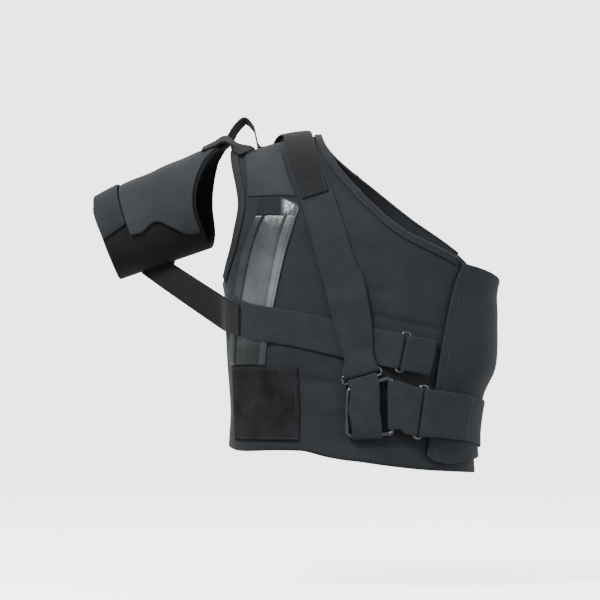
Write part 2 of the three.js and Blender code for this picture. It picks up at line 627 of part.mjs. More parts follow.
// Rings of round wire: a rectangle with round corners, lying flat in its seat.
const WIRE_SIDES = 6;
function wireRing(seat, corners, radius) {
  const path = new THREE.CurvePath();
  const count = corners.length;
  const corner = (i) => corners[(i + count) % count];
  const bend = radius * 2.2;
  const cut = (from, to) => from.clone().lerp(to, bend / from.distanceTo(to));
  for (let i = 0; i < count; i += 1) {
    const start = cut(corner(i), corner(i - 1));
    const end = cut(corner(i), corner(i + 1));
    path.add(new THREE.QuadraticBezierCurve3(start, corner(i), end));
    path.add(new THREE.LineCurve3(end, cut(corner(i + 1), corner(i))));
  }
  const stops = path.curves.flatMap((curve) => curve.getPoints(curve.isLineCurve3 ? 1 : 4).slice(0, -1));
  return sweep(stops.length, WIRE_SIDES, (along, k) => {
    const i = Math.round(along * stops.length) % stops.length;
    const ahead = stops[(i + 1) % stops.length];
    const behind = stops[(i + stops.length - 1) % stops.length];
    const run = ahead.clone().sub(behind).normalize();
    const aside = new THREE.Vector3(-run.y, run.x, 0);
    const angle = 2 * PI * (k + 0.5) / WIRE_SIDES;
    const point = stops[i].clone().addScaledVector(aside, radius * cos(angle));
    return inSeat(seat, point.x, point.y, radius * sin(angle));
  }, true);
}

const slideCorners = (strapWidth) => {
  const half = strapWidth / 2 + RING_CLEARANCE + RING_WIRE / 2;
  return [[-BAR_OFFSET, half], [BAR_OFFSET, half], [BAR_OFFSET, -half], [-BAR_OFFSET, -half]]
    .map(([run, cross]) => new THREE.Vector3(run, cross, 0));
};
add('shoulder_strap_ring', wireRing(shoulderSeat, slideCorners(STRAP_WIDTH), RING_WIRE / 2), RING_METAL);
add('arm_strap_ring', wireRing(armSeat, slideCorners(STRAP_WIDTH), RING_WIRE / 2), RING_METAL);
add('waist_strap_ring', wireRing(waistSeat, slideCorners(WAIST_STRAP_WIDTH), RING_WIRE / 2), RING_METAL);
const centreCorners = CENTRE_RING_CORNERS.map(({ right, rise }) => new THREE.Vector3(right, rise, 0));
add('centre_ring', wireRing(centreSeat, centreCorners, CENTRE_RING_BAR / 2), RING_METAL);

// The strap from the cuff's side of the vest to its ring.
const SETTLE = 34;
const POCKET_REACH = 62;
const POCKET_RAMP = 26;
const OVER_POCKET = ON_VEST + TRIM_WALL + SEAT_GAP + WEBBING / 2 + 0.7;
const armLine = track(ARM_COURSE, [{ frame: armSeat, at: 'end', base: RING_LIFT }]);
const armBar = armLine.length - BAR_OFFSET;
const pocketEnd = POCKET_REACH + POCKET_RAMP;
const armPath = [
  ...between({ s: 0, lift: OVER_POCKET }, { s: POCKET_REACH, lift: OVER_POCKET }, 6),
  ...between({ s: POCKET_REACH, lift: OVER_POCKET }, { s: pocketEnd, lift: LOW_LEG }, 3).slice(1),
  ...between({ s: pocketEnd, lift: LOW_LEG }, { s: armBar - SETTLE, lift: LOW_LEG }, 8).slice(1),
  ...between({ s: armBar - SETTLE, lift: LOW_LEG }, { s: armBar, lift: overWire }, 4).slice(1, -1),
  ...halfTurn(armBar, RING_LIFT, wireTurn, 1, true),
  { s: armBar - FOLD_RETURN, lift: RING_LIFT - wireTurn },
];
add('arm_strap', strap(armLine, armPath, () => STRAP_WIDTH, WEBBING), WEBBING_CLOTH);

// The loop that holds the arm strap's ring, sewn to the front.
const armTabLine = track(ARM_TAB_COURSE, [{ frame: armSeat, at: 0, base: RING_LIFT }]);
const armTabEnd = armTabLine.length;
const DOUBLED = LOW_LEG + WEBBING + SEAT_GAP;
const armTabPath = [
  ...between({ s: armTabEnd, lift: LOW_LEG }, { s: BAR_OFFSET, lift: LOW_LEG }, 4).slice(0, -1),
  ...halfTurn(BAR_OFFSET, RING_LIFT, wireTurn, -1, false),
  ...between({ s: BAR_OFFSET, lift: overWire }, { s: armTabEnd, lift: DOUBLED }, 5).slice(1),
];
add('arm_ring_tab', strap(armTabLine, armTabPath, () => STRAP_WIDTH, WEBBING), WEBBING_CLOTH);

// The strap over the shoulder, down to its ring, crossing over the arm strap.
const shoulderLine = track(SHOULDER_COURSE, [{ frame: shoulderSeat, at: 'end', base: RING_LIFT }]);
const shoulderBar = shoulderLine.length - BAR_OFFSET;
const OVER_RIDGE = LOW_LEG + 0.4;
const CROSSING = LOW_LEG + WEBBING + SEAT_GAP + 0.8;
const CROSSING_REACH = 95;
const CROSSING_RAMP = 30;
const crossingStart = shoulderBar - CROSSING_REACH;
const rampStart = crossingStart - CROSSING_RAMP;
const settleStart = shoulderBar - SETTLE;
const shoulderPath = [
  ...between({ s: 0, lift: OVER_RIDGE }, { s: rampStart, lift: OVER_RIDGE }, 22),
  ...between({ s: rampStart, lift: OVER_RIDGE }, { s: crossingStart, lift: CROSSING }, 3).slice(1),
  ...between({ s: crossingStart, lift: CROSSING }, { s: settleStart, lift: CROSSING }, 4).slice(1),
  ...between({ s: settleStart, lift: CROSSING }, { s: shoulderBar, lift: overWire }, 4).slice(1, -1),
  ...halfTurn(shoulderBar, RING_LIFT, wireTurn, 1, true),
  { s: shoulderBar - FOLD_RETURN, lift: RING_LIFT - wireTurn },
];
const WIDENED_AT = 0.8;
const shoulderWidth = (s) => lerp(
  SHOULDER_STRAP_TOP_WIDTH, STRAP_WIDTH, smooth(s / (shoulderLine.length * WIDENED_AT)));
add('shoulder_strap', strap(shoulderLine, shoulderPath, shoulderWidth, WEBBING), WEBBING_CLOTH);

// The dark tab over the strap's top, standing proud in a slack hump behind the ridge.
const tabLine = track(TAB_COURSE);
const TAB_LIFT = OVER_RIDGE + WEBBING + SEAT_GAP;
const TAB_HUMP = 5;
const HUMP_AT = { middle: 0.42, half: 0.3 };
const TAB_STEPS = 18;
const tabPath = Array.from({ length: TAB_STEPS + 1 }, (_, i) => {
  const share = i / TAB_STEPS;
  const hump = TAB_HUMP * smooth(1 - abs(share - HUMP_AT.middle) / HUMP_AT.half);
  return { s: share * tabLine.length, lift: TAB_LIFT + hump };
});
add('shoulder_tab', strap(tabLine, tabPath, () => TAB_WIDTH, WEBBING), DARK_WEBBING);

// A belt sewn into a loop round two bars.
function belt(near, far, steps, crown) {
  const at = (bar, way) => ({ s: bar.bar, lift: bar.lift + way * bar.radius });
  const side = (from, to, way, raised) => between(at(from, way), at(to, way), steps)
    .slice(1, -1).map(({ s, lift }) => ({ s, lift: lift + raised }));
  return [
    ...halfTurn(near.bar, near.lift, near.radius, -1, false),
    ...side(near, far, 1, crown),
    ...halfTurn(far.bar, far.lift, far.radius, 1, true),
    ...side(far, near, -1, -crown / 4),
  ];
}

// The belt from the shoulder strap's ring to the foot of the centre ring.
const LINK_ASIDE = 4;
const [, , footRight, footLeft] = CENTRE_RING_CORNERS;
const footFrame = (() => {
  const down = centreSeat.cross.clone().negate();
  const middle = (footRight.right + footLeft.right) / 2 - LINK_ASIDE;
  const origin = inSeat(centreSeat, middle, (footRight.rise + footLeft.rise) / 2, 0);
  const lean = atan2(footRight.rise - footLeft.rise, footRight.right - footLeft.right);
  const cross = centreSeat.run.clone().applyAxisAngle(centreSeat.out, lean);
  return { origin, run: down.applyAxisAngle(centreSeat.out, lean), cross, out: centreSeat.out };
})();
const LINK_CROWN = 3.5;
const BELT_FADE = 0.7;
const linkLine = trackBetween(shoulderSeat, footFrame, RING_LIFT, CENTRE_LIFT);
function trackBetween(from, to, fromBase, toBase) {
  const curve = new THREE.CatmullRomCurve3([from, to].map((frame) => skin(spotNear(frame.origin))));
  const length = curve.getLength();
  const seats = [{ frame: from, at: 0, base: fromBase }, { frame: to, at: length, base: toBase }];
  return { curve, length, fade: length * BELT_FADE, seats };
}
const linkPath = belt({ bar: BAR_OFFSET, radius: wireTurn, lift: RING_LIFT },
  { bar: linkLine.length, radius: barTurn, lift: CENTRE_LIFT }, 6, LINK_CROWN);
add('link_belt', strap(linkLine, linkPath, () => LINK_WIDTH, WEBBING, true), WEBBING_CLOTH);

// The belt from the centre ring's right bar to the waist strap's ring.
const [, headRight] = CENTRE_RING_CORNERS;
const sideLean = -atan2(headRight.right - footRight.right, headRight.rise - footRight.rise);
const sideFrame = {
  origin: inSeat(
    centreSeat, (headRight.right + footRight.right) / 2, (headRight.rise + footRight.rise) / 2, 0),
  run: centreSeat.run.clone().applyAxisAngle(centreSeat.out, sideLean),
  cross: centreSeat.cross.clone().applyAxisAngle(centreSeat.out, sideLean),
  out: centreSeat.out,
};
const waistTabLine = trackBetween(sideFrame, waistSeat, CENTRE_LIFT, WAIST_LIFT);
const waistTabPath = belt({ bar: 0, radius: barTurn, lift: CENTRE_LIFT },
  { bar: waistTabLine.length - BAR_OFFSET, radius: wireTurn, lift: WAIST_LIFT }, 4, 0);
const waistTab = strap(waistTabLine, waistTabPath, () => WAIST_STRAP_WIDTH, WEBBING, true);
add('waist_ring_belt', waistTab, WEBBING_CLOTH);

// The waist strap: sewn at the back, round the flank, through its ring and back over itself.
const WAIST_COURSE = [
  { across: 0.434, up: -0.808, side: -1 }, { across: 0.80, up: -0.832, side: -1 },
  { across: 1.30, up: -0.850, side: -1 }, { across: 0.72, up: -0.850, side: 1 },
  { across: 0.30, up: -0.840, side: 1 },
];
const waistLine = track(WAIST_COURSE, [{ frame: waistSeat, at: 0, base: WAIST_LIFT }]);
const WAIST_RETURN = 72;
const WAIST_DOUBLED = WAIST_LEG + WEBBING + SEAT_GAP;
const waistPath = [
  ...between(
    { s: WAIST_RETURN, lift: WAIST_DOUBLED }, { s: BAR_OFFSET, lift: WAIST_LIFT + wireTurn }, 5).slice(0, -1),
  ...halfTurn(BAR_OFFSET, WAIST_LIFT, wireTurn, -1, true),
  ...between({ s: BAR_OFFSET, lift: WAIST_LEG }, { s: waistLine.length, lift: WAIST_LEG }, 22).slice(1),
];
add('waist_strap', strap(waistLine, waistPath, () => WAIST_STRAP_WIDTH, WEBBING), WEBBING_CLOTH);

// The arm cuff. turn is degrees round the arm from the top by way of the front, s is along the arm.
const CUFF_CENTRE = new THREE.Vector3(-0.976 * HALF_CHEST, 5, -0.144 * VEST_HEIGHT);
const armRun = new THREE.Vector3(
  -cos(ARM_DROP) * cos(ARM_BACK), sin(ARM_BACK), -sin(ARM_DROP) * cos(ARM_BACK));
const armFront = new THREE.Vector3(0, 0, 1).cross(armRun).normalize();
const armTop = new THREE.Vector3().crossVectors(armRun, armFront);

function onCuff(turn, s, lift) {
  const radius = lerp(CUFF_BORE_UPPER, CUFF_BORE_LOWER, s / CUFF_LENGTH) + lift;
  return CUFF_CENTRE.clone().addScaledVector(armRun, s)
    .addScaledVector(armTop, radius * cos(degrees(turn)))
    .addScaledVector(armFront, radius * sin(degrees(turn)));
}

const cuffEnd = (turn, end) => read(CUFF_ENDS, 'turn', end, (turn + 720) % 360) * CUFF_LENGTH;
add('cuff_sleeve', sheet(28, 6, (around, along, outer) => {
  const turn = 360 * around;
  return onCuff(turn, lerp(cuffEnd(turn, 'upper'), cuffEnd(turn, 'lower'), along), outer ? CUFF_WALL : 0);
}, true), HOOK_CLOTH);

const CUFF_GAP = 1.1;
const ON_CUFF = CUFF_WALL + CUFF_GAP;
const CUFF_FLAP_BACK = -130;
const CUFF_FLAP_INSET = 4;
const CUFF_FLAP_FOOT = 0.75;
add('cuff_flap', sheet(20, 8, (around, along, outer) => {
  const end = read(CUFF_FLAP_EDGE, 'along', 'turn', CUFF_FLAP_FOOT * along);
  const turn = lerp(CUFF_FLAP_BACK, end, around);
  const s = lerp(cuffEnd(turn, 'upper') + CUFF_FLAP_INSET, CUFF_FLAP_FOOT * CUFF_LENGTH, along);
  return onCuff(turn, s, ON_CUFF + (outer ? CUFF_FLAP_WALL : 0));
}), PANEL_CLOTH);

const BAND_START = 0.765;
const BAND_ENDS = { back: -110, front: 84, slant: 8 };
const BAND_FLARE = 3;
add('cuff_band', sheet(18, 3, (around, along, outer) => {
  const turn = lerp(BAND_ENDS.back, BAND_ENDS.front + BAND_ENDS.slant * along, around);
  const lift = ON_CUFF + BAND_FLARE * (1 - along) * smooth(2 - 4 * abs(around - 0.5));
  const s = BAND_START * CUFF_LENGTH + along * CUFF_BAND_WIDTH;
  return onCuff(turn, s, lift + (outer ? CUFF_BAND_WALL : 0));
}), WEBBING_CLOTH);

// The dark strap from under the cuff to the front of the vest, a ribbon between two edges.
const UNDER_STRAP_START = 0.585;
const pullStart = UNDER_STRAP_START * CUFF_LENGTH;
const ON_ARM_STRAP = OVER_POCKET + WEBBING + SEAT_GAP + 1.2;
const PULL_TURNS = { first: 224, last: 174, stops: 6 };
const PULL_ENDS = [
  { across: -0.965, upper: -0.454, lower: -0.558 },
  { across: -0.925, upper: -0.468, lower: -0.567 },
  { across: -0.845, upper: -0.486, lower: -0.580 },
];
const pullTurn = (i) => lerp(PULL_TURNS.first, PULL_TURNS.last, i / (PULL_TURNS.stops - 1));
const pullEdge = (s, edge) => new THREE.CatmullRomCurve3([
  ...Array.from({ length: PULL_TURNS.stops }, (_, i) => onCuff(pullTurn(i), s, ON_CUFF + WEBBING / 2 + 0.4)),
  ...PULL_ENDS.map((stop) => lay(placed({ across: stop.across, up: stop[edge] }), ON_ARM_STRAP)),
], false, 'centripetal');
const pullUpper = pullEdge(pullStart, 'upper');
const pullLower = pullEdge(pullStart + STRAP_WIDTH * 0.94, 'lower');
add('cuff_pull_strap', sheet(22, STRAP_COLUMNS, (along, across, outer) => {
  const at = (u, v) => pullUpper.getPoint(u).lerp(pullLower.getPoint(u), v);
  const ahead = at(min(along + 0.01, 1), across).sub(at(max(along - 0.01, 0), across));
  const aside = pullLower.getPoint(along).sub(pullUpper.getPoint(along));
  const out = new THREE.Vector3().crossVectors(aside, ahead).normalize();
  return at(along, across).addScaledVector(out, (outer ? 0.5 : -0.5) * WEBBING);
}), DARK_WEBBING);

// The joint between the cuff's top and the vest's shoulder, and the slack loop standing over it.
const JOINT_TURN = 14;
const JOINT_LIFT = ON_CUFF + CUFF_FLAP_WALL + WEBBING / 2 + 0.6;
const jointFoot = placed({ across: -0.83, up: -0.040 });
const jointCourse = [
  onCuff(JOINT_TURN, 12, JOINT_LIFT),
  onCuff(JOINT_TURN, -6, JOINT_LIFT),
  onCuff(JOINT_TURN, -23, JOINT_LIFT + 0.5),
  lay(placed({ across: -0.92, up: -0.030 }), ON_VEST + BINDING_WALL + SEAT_GAP + 6),
  lay(jointFoot, ON_VEST + PANEL_WALL + SEAT_GAP + 2.4),
];
const jointCurve = new THREE.CatmullRomCurve3(jointCourse, false, 'centripetal');
const JOINT_WIDTH = 26;
const ribbon = (curve, steps, width, thickness, lateral) => sheet(steps, STRAP_COLUMNS, (
  along, across, outer) => {
  const run = curve.getTangent(along);
  const aside = lateral(along);
  aside.addScaledVector(run, -aside.dot(run)).normalize();
  const out = new THREE.Vector3().crossVectors(run, aside).normalize();
  return curve.getPoint(along).addScaledVector(aside, (across - 0.5) * width)
    .addScaledVector(out, (outer ? 0.5 : -0.5) * thickness);
});
const cuffTangent = (turn) => armFront.clone().multiplyScalar(cos(degrees(turn)))
  .addScaledVector(armTop, -sin(degrees(turn)));
const jointAside = [cuffTangent(JOINT_TURN), slopes(jointFoot).up.negate()];
add('shoulder_joint', ribbon(jointCurve, 14, JOINT_WIDTH, WEBBING, (along) =>
  jointAside[0].clone().lerp(jointAside[1].clone().normalize(), along)), BINDING_CLOTH);

const LOOP_TURN = -26;
const loopFoot = placed({ across: -0.66, up: -0.024, side: 1 });
const loopCourse = [
  onCuff(LOOP_TURN, 2, ON_CUFF + CUFF_FLAP_WALL + WEBBING / 2 + 0.7),
  onCuff(LOOP_TURN, -16, ON_CUFF + CUFF_FLAP_WALL + SEAT_GAP + WEBBING / 2 + 4),
  new THREE.Vector3(-0.918 * HALF_CHEST, 36, 0.056 * VEST_HEIGHT),
  new THREE.Vector3(-0.858 * HALF_CHEST, 36, 0.075 * VEST_HEIGHT),
  new THREE.Vector3(-0.795 * HALF_CHEST, 36, 0.052 * VEST_HEIGHT),
  lay(placed({ across: -0.73, up: -0.028, side: 1 }), ON_VEST + WEBBING / 2 + 4),
  lay(loopFoot, ON_VEST + WEBBING / 2),
];
const loopAside = [cuffTangent(LOOP_TURN).negate(), slopes(loopFoot).up.negate().normalize()];
const loopCurve = new THREE.CatmullRomCurve3(loopCourse, false, 'centripetal');
add('slack_loop', ribbon(loopCurve, 20, LOOP_WIDTH, WEBBING, (along) =>
  loopAside[0].clone().lerp(loopAside[1], along)),
  WEBBING_CLOTH);

export default brace;
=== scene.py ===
import math

import bpy
import numpy as np
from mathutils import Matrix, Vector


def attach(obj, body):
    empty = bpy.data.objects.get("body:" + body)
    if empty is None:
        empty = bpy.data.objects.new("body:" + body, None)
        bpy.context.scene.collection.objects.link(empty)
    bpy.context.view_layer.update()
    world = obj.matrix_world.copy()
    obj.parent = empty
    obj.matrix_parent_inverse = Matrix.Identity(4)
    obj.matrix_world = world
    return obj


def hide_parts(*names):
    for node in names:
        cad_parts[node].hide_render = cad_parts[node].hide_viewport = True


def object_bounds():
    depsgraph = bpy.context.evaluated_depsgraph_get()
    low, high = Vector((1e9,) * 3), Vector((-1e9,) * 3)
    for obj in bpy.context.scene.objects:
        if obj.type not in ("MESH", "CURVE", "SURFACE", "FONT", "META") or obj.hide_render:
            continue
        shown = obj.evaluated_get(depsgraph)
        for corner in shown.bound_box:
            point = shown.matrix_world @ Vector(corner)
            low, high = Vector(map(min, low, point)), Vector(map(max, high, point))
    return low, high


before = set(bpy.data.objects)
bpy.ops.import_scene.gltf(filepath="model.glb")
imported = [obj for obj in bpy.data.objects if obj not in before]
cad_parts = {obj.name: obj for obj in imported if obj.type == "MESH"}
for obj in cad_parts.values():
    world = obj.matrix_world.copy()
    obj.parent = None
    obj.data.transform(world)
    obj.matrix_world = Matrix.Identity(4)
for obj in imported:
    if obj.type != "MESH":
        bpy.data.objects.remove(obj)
cad_box = [list(corner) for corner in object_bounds()]

# Camera
# The photograph looks straight at the chest from far off, so a long lens stands level with the
# middle of the brace. The frame is as wide at the brace as the photograph's.
VIEW_CENTRE = (0.0288, -0.217)
VIEW_WIDTH = 0.840
VIEW_DISTANCE = 7.0
SENSOR_WIDTH = 36.0

camera_data = bpy.data.cameras.new("camera")
camera_data.sensor_width = SENSOR_WIDTH
camera_data.lens = SENSOR_WIDTH * VIEW_DISTANCE / VIEW_WIDTH
camera_data.clip_end = 50
camera = bpy.data.objects.new("camera", camera_data)
camera.location = (VIEW_CENTRE[0], -VIEW_DISTANCE, VIEW_CENTRE[1])
camera.rotation_euler = (math.radians(90), 0, 0)
bpy.context.scene.collection.objects.link(camera)
bpy.context.scene.camera = camera

# Studio
# A pale round floor, which only the camera sees, runs up into a wall far off on every side. A broad
# light stands over the camera's left shoulder, a weaker one on its right, and one behind the brace.
FLOOR_DROP = 0.16
FLOOR_RADIUS = 9.0
COVE_RADIUS = 2.0
WALL_HEIGHT = 7.0
COVE_STEPS = 16
BOWL_SIDES = 96
BOWL_MIDDLE = 0.01

floor_level = cad_box[0][2] - FLOOR_DROP
bowl_profile = [(BOWL_MIDDLE, floor_level), (FLOOR_RADIUS - COVE_RADIUS, floor_level)]
for step in range(1, COVE_STEPS + 1):
    angle = math.pi / 2 * step / COVE_STEPS
    bowl_profile.append((FLOOR_RADIUS - COVE_RADIUS + COVE_RADIUS * math.sin(angle),
                         floor_level + COVE_RADIUS * (1 - math.cos(angle))))
bowl_profile.append((FLOOR_RADIUS, WALL_HEIGHT))
bowl_points = []
for radius, level in bowl_profile:
    for side in range(BOWL_SIDES):
        around = 2 * math.pi * side / BOWL_SIDES
        bowl_points.append((radius * math.cos(around), radius * math.sin(around), level))
bowl_faces = [tuple(range(BOWL_SIDES))]
for ring_start in range(0, len(bowl_points) - BOWL_SIDES, BOWL_SIDES):
    for side in range(BOWL_SIDES):
        side_after = (side + 1) % BOWL_SIDES
        bowl_faces.append((ring_start + side_after, ring_start + side,
                           ring_start + BOWL_SIDES + side, ring_start + BOWL_SIDES + side_after))
backdrop_mesh = bpy.data.meshes.new("backdrop")
backdrop_mesh.from_pydata(bowl_points, [], bowl_faces)
backdrop_mesh.polygons.foreach_set("use_smooth", [True] * len(backdrop_mesh.polygons))
backdrop = bpy.data.objects.new("backdrop", backdrop_mesh)
bpy.context.scene.collection.objects.link(backdrop)
backdrop_paint = bpy.data.materials.new("backdrop_paint")
backdrop_paint.use_nodes = True
backdrop_shader = backdrop_paint.node_tree.nodes["Principled BSDF"]
backdrop_shader.inputs["Base Color"].default_value = (0.93, 0.93, 0.92, 1)
backdrop_shader.inputs["Roughness"].default_value = 0.9
backdrop_shader.inputs["Emission Color"].default_value = (1.0, 1.0, 1.0, 1)
backdrop_shader.inputs["Emission Strength"].default_value = 2.2
backdrop_mesh.materials.append(backdrop_paint)
backdrop.visible_glossy = False
backdrop.visible_diffuse = False

world = bpy.data.worlds.new("studio")
world.use_nodes = True
world.node_tree.nodes["Background"].inputs["Color"].default_value = (0.95, 0.97, 1.0, 1)
world.node_tree.nodes["Background"].inputs["Strength"].default_value = 1.25
bpy.context.scene.world = world


def studio_light(name, place, aim, size, power):
    data = bpy.data.lights.new(name, "AREA")
    data.size = size
    data.energy = power
    light = bpy.data.objects.new(name, data)
    light.location = place
    direction = np.array(aim) - np.array(place)
    light.rotation_euler = (
        math.atan2(math.hypot(direction[0], direction[1]), -direction[2]), 0,
        math.atan2(-direction[0], direction[1]))
    bpy.context.scene.collection.objects.link(light)


studio_light("key_light", (-1.3, -1.9, 1.9), (0, 0, -0.2), 0.9, 200)
studio_light("fill_light", (2.2, -1.6, 0.4), (0, 0, -0.2), 1.8, 45)
studio_light("back_light", (0.6, 2.0, 1.6), (0, 0, -0.1), 1.6, 40)

# Vest
# Two panels of foam laminated between brushed loop cloths, about 4 mm thick, sewn together at the
# sides and over the one shoulder. Worn, they follow the chest and ease into shallow folds.
CHEST_WIDTH = 369.0
CHEST_DEPTH = 236.0
VEST_HEIGHT = 459.0
DOME_HEIGHT = 150.0
BODY_ROUNDNESS = 2.5
SHOULDER_REST_OUT = 110.0
VEST_WALL = 4.0
SEAT_GAP = 0.8
SEAM_GAP = 0.6
MM = 0.001
BEFORE, BEHIND = -1, 1
HALF_CHEST = CHEST_WIDTH / 2
HALF_DEPTH = CHEST_DEPTH / 2
DOME_TOP = DOME_HEIGHT * math.pi / 2

# Shares of the vest's height from the shoulder rest, and of half the chest's width or depth
TORSO_SECTIONS = {
    "down": (-0.08, 0.0, 0.09, 0.21, 0.33, 0.445, 0.53, 0.67, 0.745, 0.815, 0.89, 1.01),
    "width": (1.31, 1.30, 1.27, 1.18, 1.08, 1.00, 0.995, 0.980, 0.932, 0.908, 0.904, 0.919),
    "shift": (0, 0, 0, 0, 0, 0.002, 0.008, 0.010, -0.023, -0.038, -0.052, -0.053),
    "front": (0.86, 0.88, 0.92, 0.97, 1.00, 1.01, 1.00, 0.98, 0.97, 0.97, 0.98, 1.00),
    "back": (0.98, 0.99, 1.00, 1.01, 1.01, 1.00, 0.98, 0.93, 0.90, 0.88, 0.88, 0.90),
}
SHOULDER_LINE = {
    "out": (-1.40, -1.10, -0.95, -0.79, -0.67, -0.596, -0.46, -0.30, -0.10, 1.40),
    "rise": (-0.26, -0.12, -0.09, -0.07, -0.025, 0.0, 0.036, 0.056, 0.086, 0.086),
}
FRONT_ROWS = {
    "arm_across": (-1.30, -1.30, -1.30, -1.05, -0.957, -0.912, -0.885, -0.905, -0.935, -0.948, -0.950),
    "arm_up": (-0.915, -0.740, -0.570, -0.460, -0.345, -0.262, -0.190, -0.130, -0.078, -0.043, -0.020),
    "neck_across": (1.30, 1.30, 1.30, 1.02, 0.735, 0.325, 0.070, -0.105, -0.195, -0.262, -0.295),
    "neck_up": (-0.995, -0.760, -0.580, -0.450, -0.352, -0.266, -0.180, -0.105, -0.056, -0.006, 0.030),
}
BACK_ROWS = {
    "arm_across": (-1.30, -1.30, -1.30, -1.05, -0.935, -0.890, -0.875, -0.900, -0.935, -0.948, -0.950),
    "arm_up": (-0.915, -0.740, -0.570, -0.460, -0.345, -0.262, -0.190, -0.130, -0.078, -0.043, -0.020),
    "neck_across": (1.30, 1.30, 1.30, 1.02, 0.760, 0.400, 0.130, -0.080, -0.190, -0.262, -0.295),
    "neck_up": (-0.995, -0.760, -0.580, -0.450, -0.330, -0.225, -0.140, -0.075, -0.036, 0.0, 0.030),
}
HEM_DIP = {
    "at": (0.0, 0.15, 0.39, 0.46, 0.55, 0.66, 0.80, 1.0),
    "dip": (0.0, 0.0, -0.022, -0.008, 0.007, 0.013, 0.010, 0.002),
}


def hermite(t, start, start_slope, end, end_slope):
    return ((2 * t**3 - 3 * t**2 + 1) * start + (t**3 - 2 * t**2 + t) * start_slope
            + (3 * t**2 - 2 * t**3) * end + (t**3 - t**2) * end_slope)


def read(table, key, column, at):
    """A smooth reading of a table's column at places between its rows."""
    keys = np.array(table[key], float)
    values = np.array(table[column], float)
    at = np.clip(at, keys[0], keys[-1])
    low = np.clip(np.searchsorted(keys, at, side="right") - 1, 0, len(keys) - 2)
    high = low + 1
    before = np.maximum(low - 1, 0)
    after = np.minimum(high + 1, len(keys) - 1)
    step = keys[high] - keys[low]
    t = (at - keys[low]) / step
    slope_low = (values[high] - values[before]) / (keys[high] - keys[before]) * step
    slope_high = (values[after] - values[low]) / (keys[after] - keys[low]) * step
    return hermite(t, values[low], slope_low, values[high], slope_high)


def read_row(table, column, share):
    count = len(table[column])
    return read({"row": np.linspace(0, 1, count), column: table[column]}, "row", column, share)


def powered(value, power):
    return np.sign(value) * np.abs(value) ** power


def smooth(t):
    k = np.clip(t, 0, 1)
    return k * k * (3 - 2 * k)


def mix(a, b, t):
    return a + (b - a) * t


def ridge_at(x):
    return DOME_HEIGHT * read(SHOULDER_LINE, "out", "rise", x / HALF_CHEST)


def section_at(level, column):
    return read(TORSO_SECTIONS, "down", column, -level / VEST_HEIGHT)


def skin(turn, climb):
    """Points of the body's skin, turn round the torso from the front and climb up it in millimetres."""
    over = climb > DOME_TOP
    c = np.where(over, 2 * DOME_TOP - climb, climb)
    t = np.where(over, math.pi - turn, turn)
    swing = np.maximum(c, 0) / DOME_HEIGHT
    level = np.where(c > 0, DOME_HEIGHT * (np.sin(swing) - 1), c - DOME_HEIGHT)
    x = HALF_CHEST * (section_at(level, "shift")
                      + section_at(level, "width") * powered(np.sin(t), 2 / BODY_ROUNDNESS))
    depth = HALF_DEPTH * np.where(np.cos(t) > 0, section_at(level, "front"), section_at(level, "back"))
    y = -depth * powered(np.cos(t), 2 / BODY_ROUNDNESS) * np.cos(swing)
    z = np.where(c > 0, (ridge_at(x) + DOME_HEIGHT) * np.sin(swing) - DOME_HEIGHT, level)
    return np.stack(np.broadcast_arrays(x, y, z), -1)


def unit(vectors):
    return vectors / np.maximum(np.linalg.norm(vectors, axis=-1, keepdims=True), 1e-9)


def dot(a, b):
    return np.sum(a * b, -1, keepdims=True)


TURN_STEP = 0.02
CLIMB_STEP = 3.0


def slopes(turn, climb):
    round_way = (skin(turn + TURN_STEP, climb) - skin(turn - TURN_STEP, climb)) / (2 * TURN_STEP)
    up_way = (skin(turn, climb + CLIMB_STEP) - skin(turn, climb - CLIMB_STEP)) / (2 * CLIMB_STEP)
    return round_way, up_way, unit(np.cross(round_way, up_way))


def lay(turn, climb, lift):
    """Points that far above the skin."""
    lift = np.asarray(lift, float)[..., None]
    return skin(turn, climb) + slopes(turn, climb)[2] * lift


def spot_at(x, z, side):
    """The turn and climb of a place seen from the front, in millimetres, before or behind."""
    reach = (z + DOME_HEIGHT) / (ridge_at(x) + DOME_HEIGHT)
    swing = np.arcsin(np.clip(reach, 0, 1))
    dome = z > -DOME_HEIGHT
    climb = np.where(dome, swing * DOME_HEIGHT, z + DOME_HEIGHT)
    level = np.where(dome, DOME_HEIGHT * (np.sin(swing) - 1), z)
    share = (x / HALF_CHEST - section_at(level, "shift")) / section_at(level, "width")
    turn = np.arcsin(powered(np.clip(share, -1, 1), BODY_ROUNDNESS / 2))
    return np.where(side == BEFORE, turn, math.pi - turn), climb


def placed(across, up, side=BEFORE):
    return spot_at(np.asarray(across, float) * HALF_CHEST, np.asarray(up, float) * VEST_HEIGHT, side)


def vest_spot(table, side, along, height):
    (arm_turn, arm_climb), (neck_turn, neck_climb) = (
        placed(read_row(table, edge + "_across", height), read_row(table, edge + "_up", height), side)
        for edge in ("arm", "neck"))
    dip = read(HEM_DIP, "at", "dip", along) * VEST_HEIGHT * (1 - smooth(height * 3))
    middle = 0 if side == BEFORE else math.pi
    limit = math.pi / 2 - SEAM_GAP / 2 / HALF_DEPTH
    turn = mix(middle + np.clip(arm_turn - middle, -limit, limit),
               middle + np.clip(neck_turn - middle, -limit, limit), along)
    climb = np.minimum(mix(arm_climb, neck_climb, along) - dip, DOME_TOP - SEAM_GAP / 2)
    return turn, climb


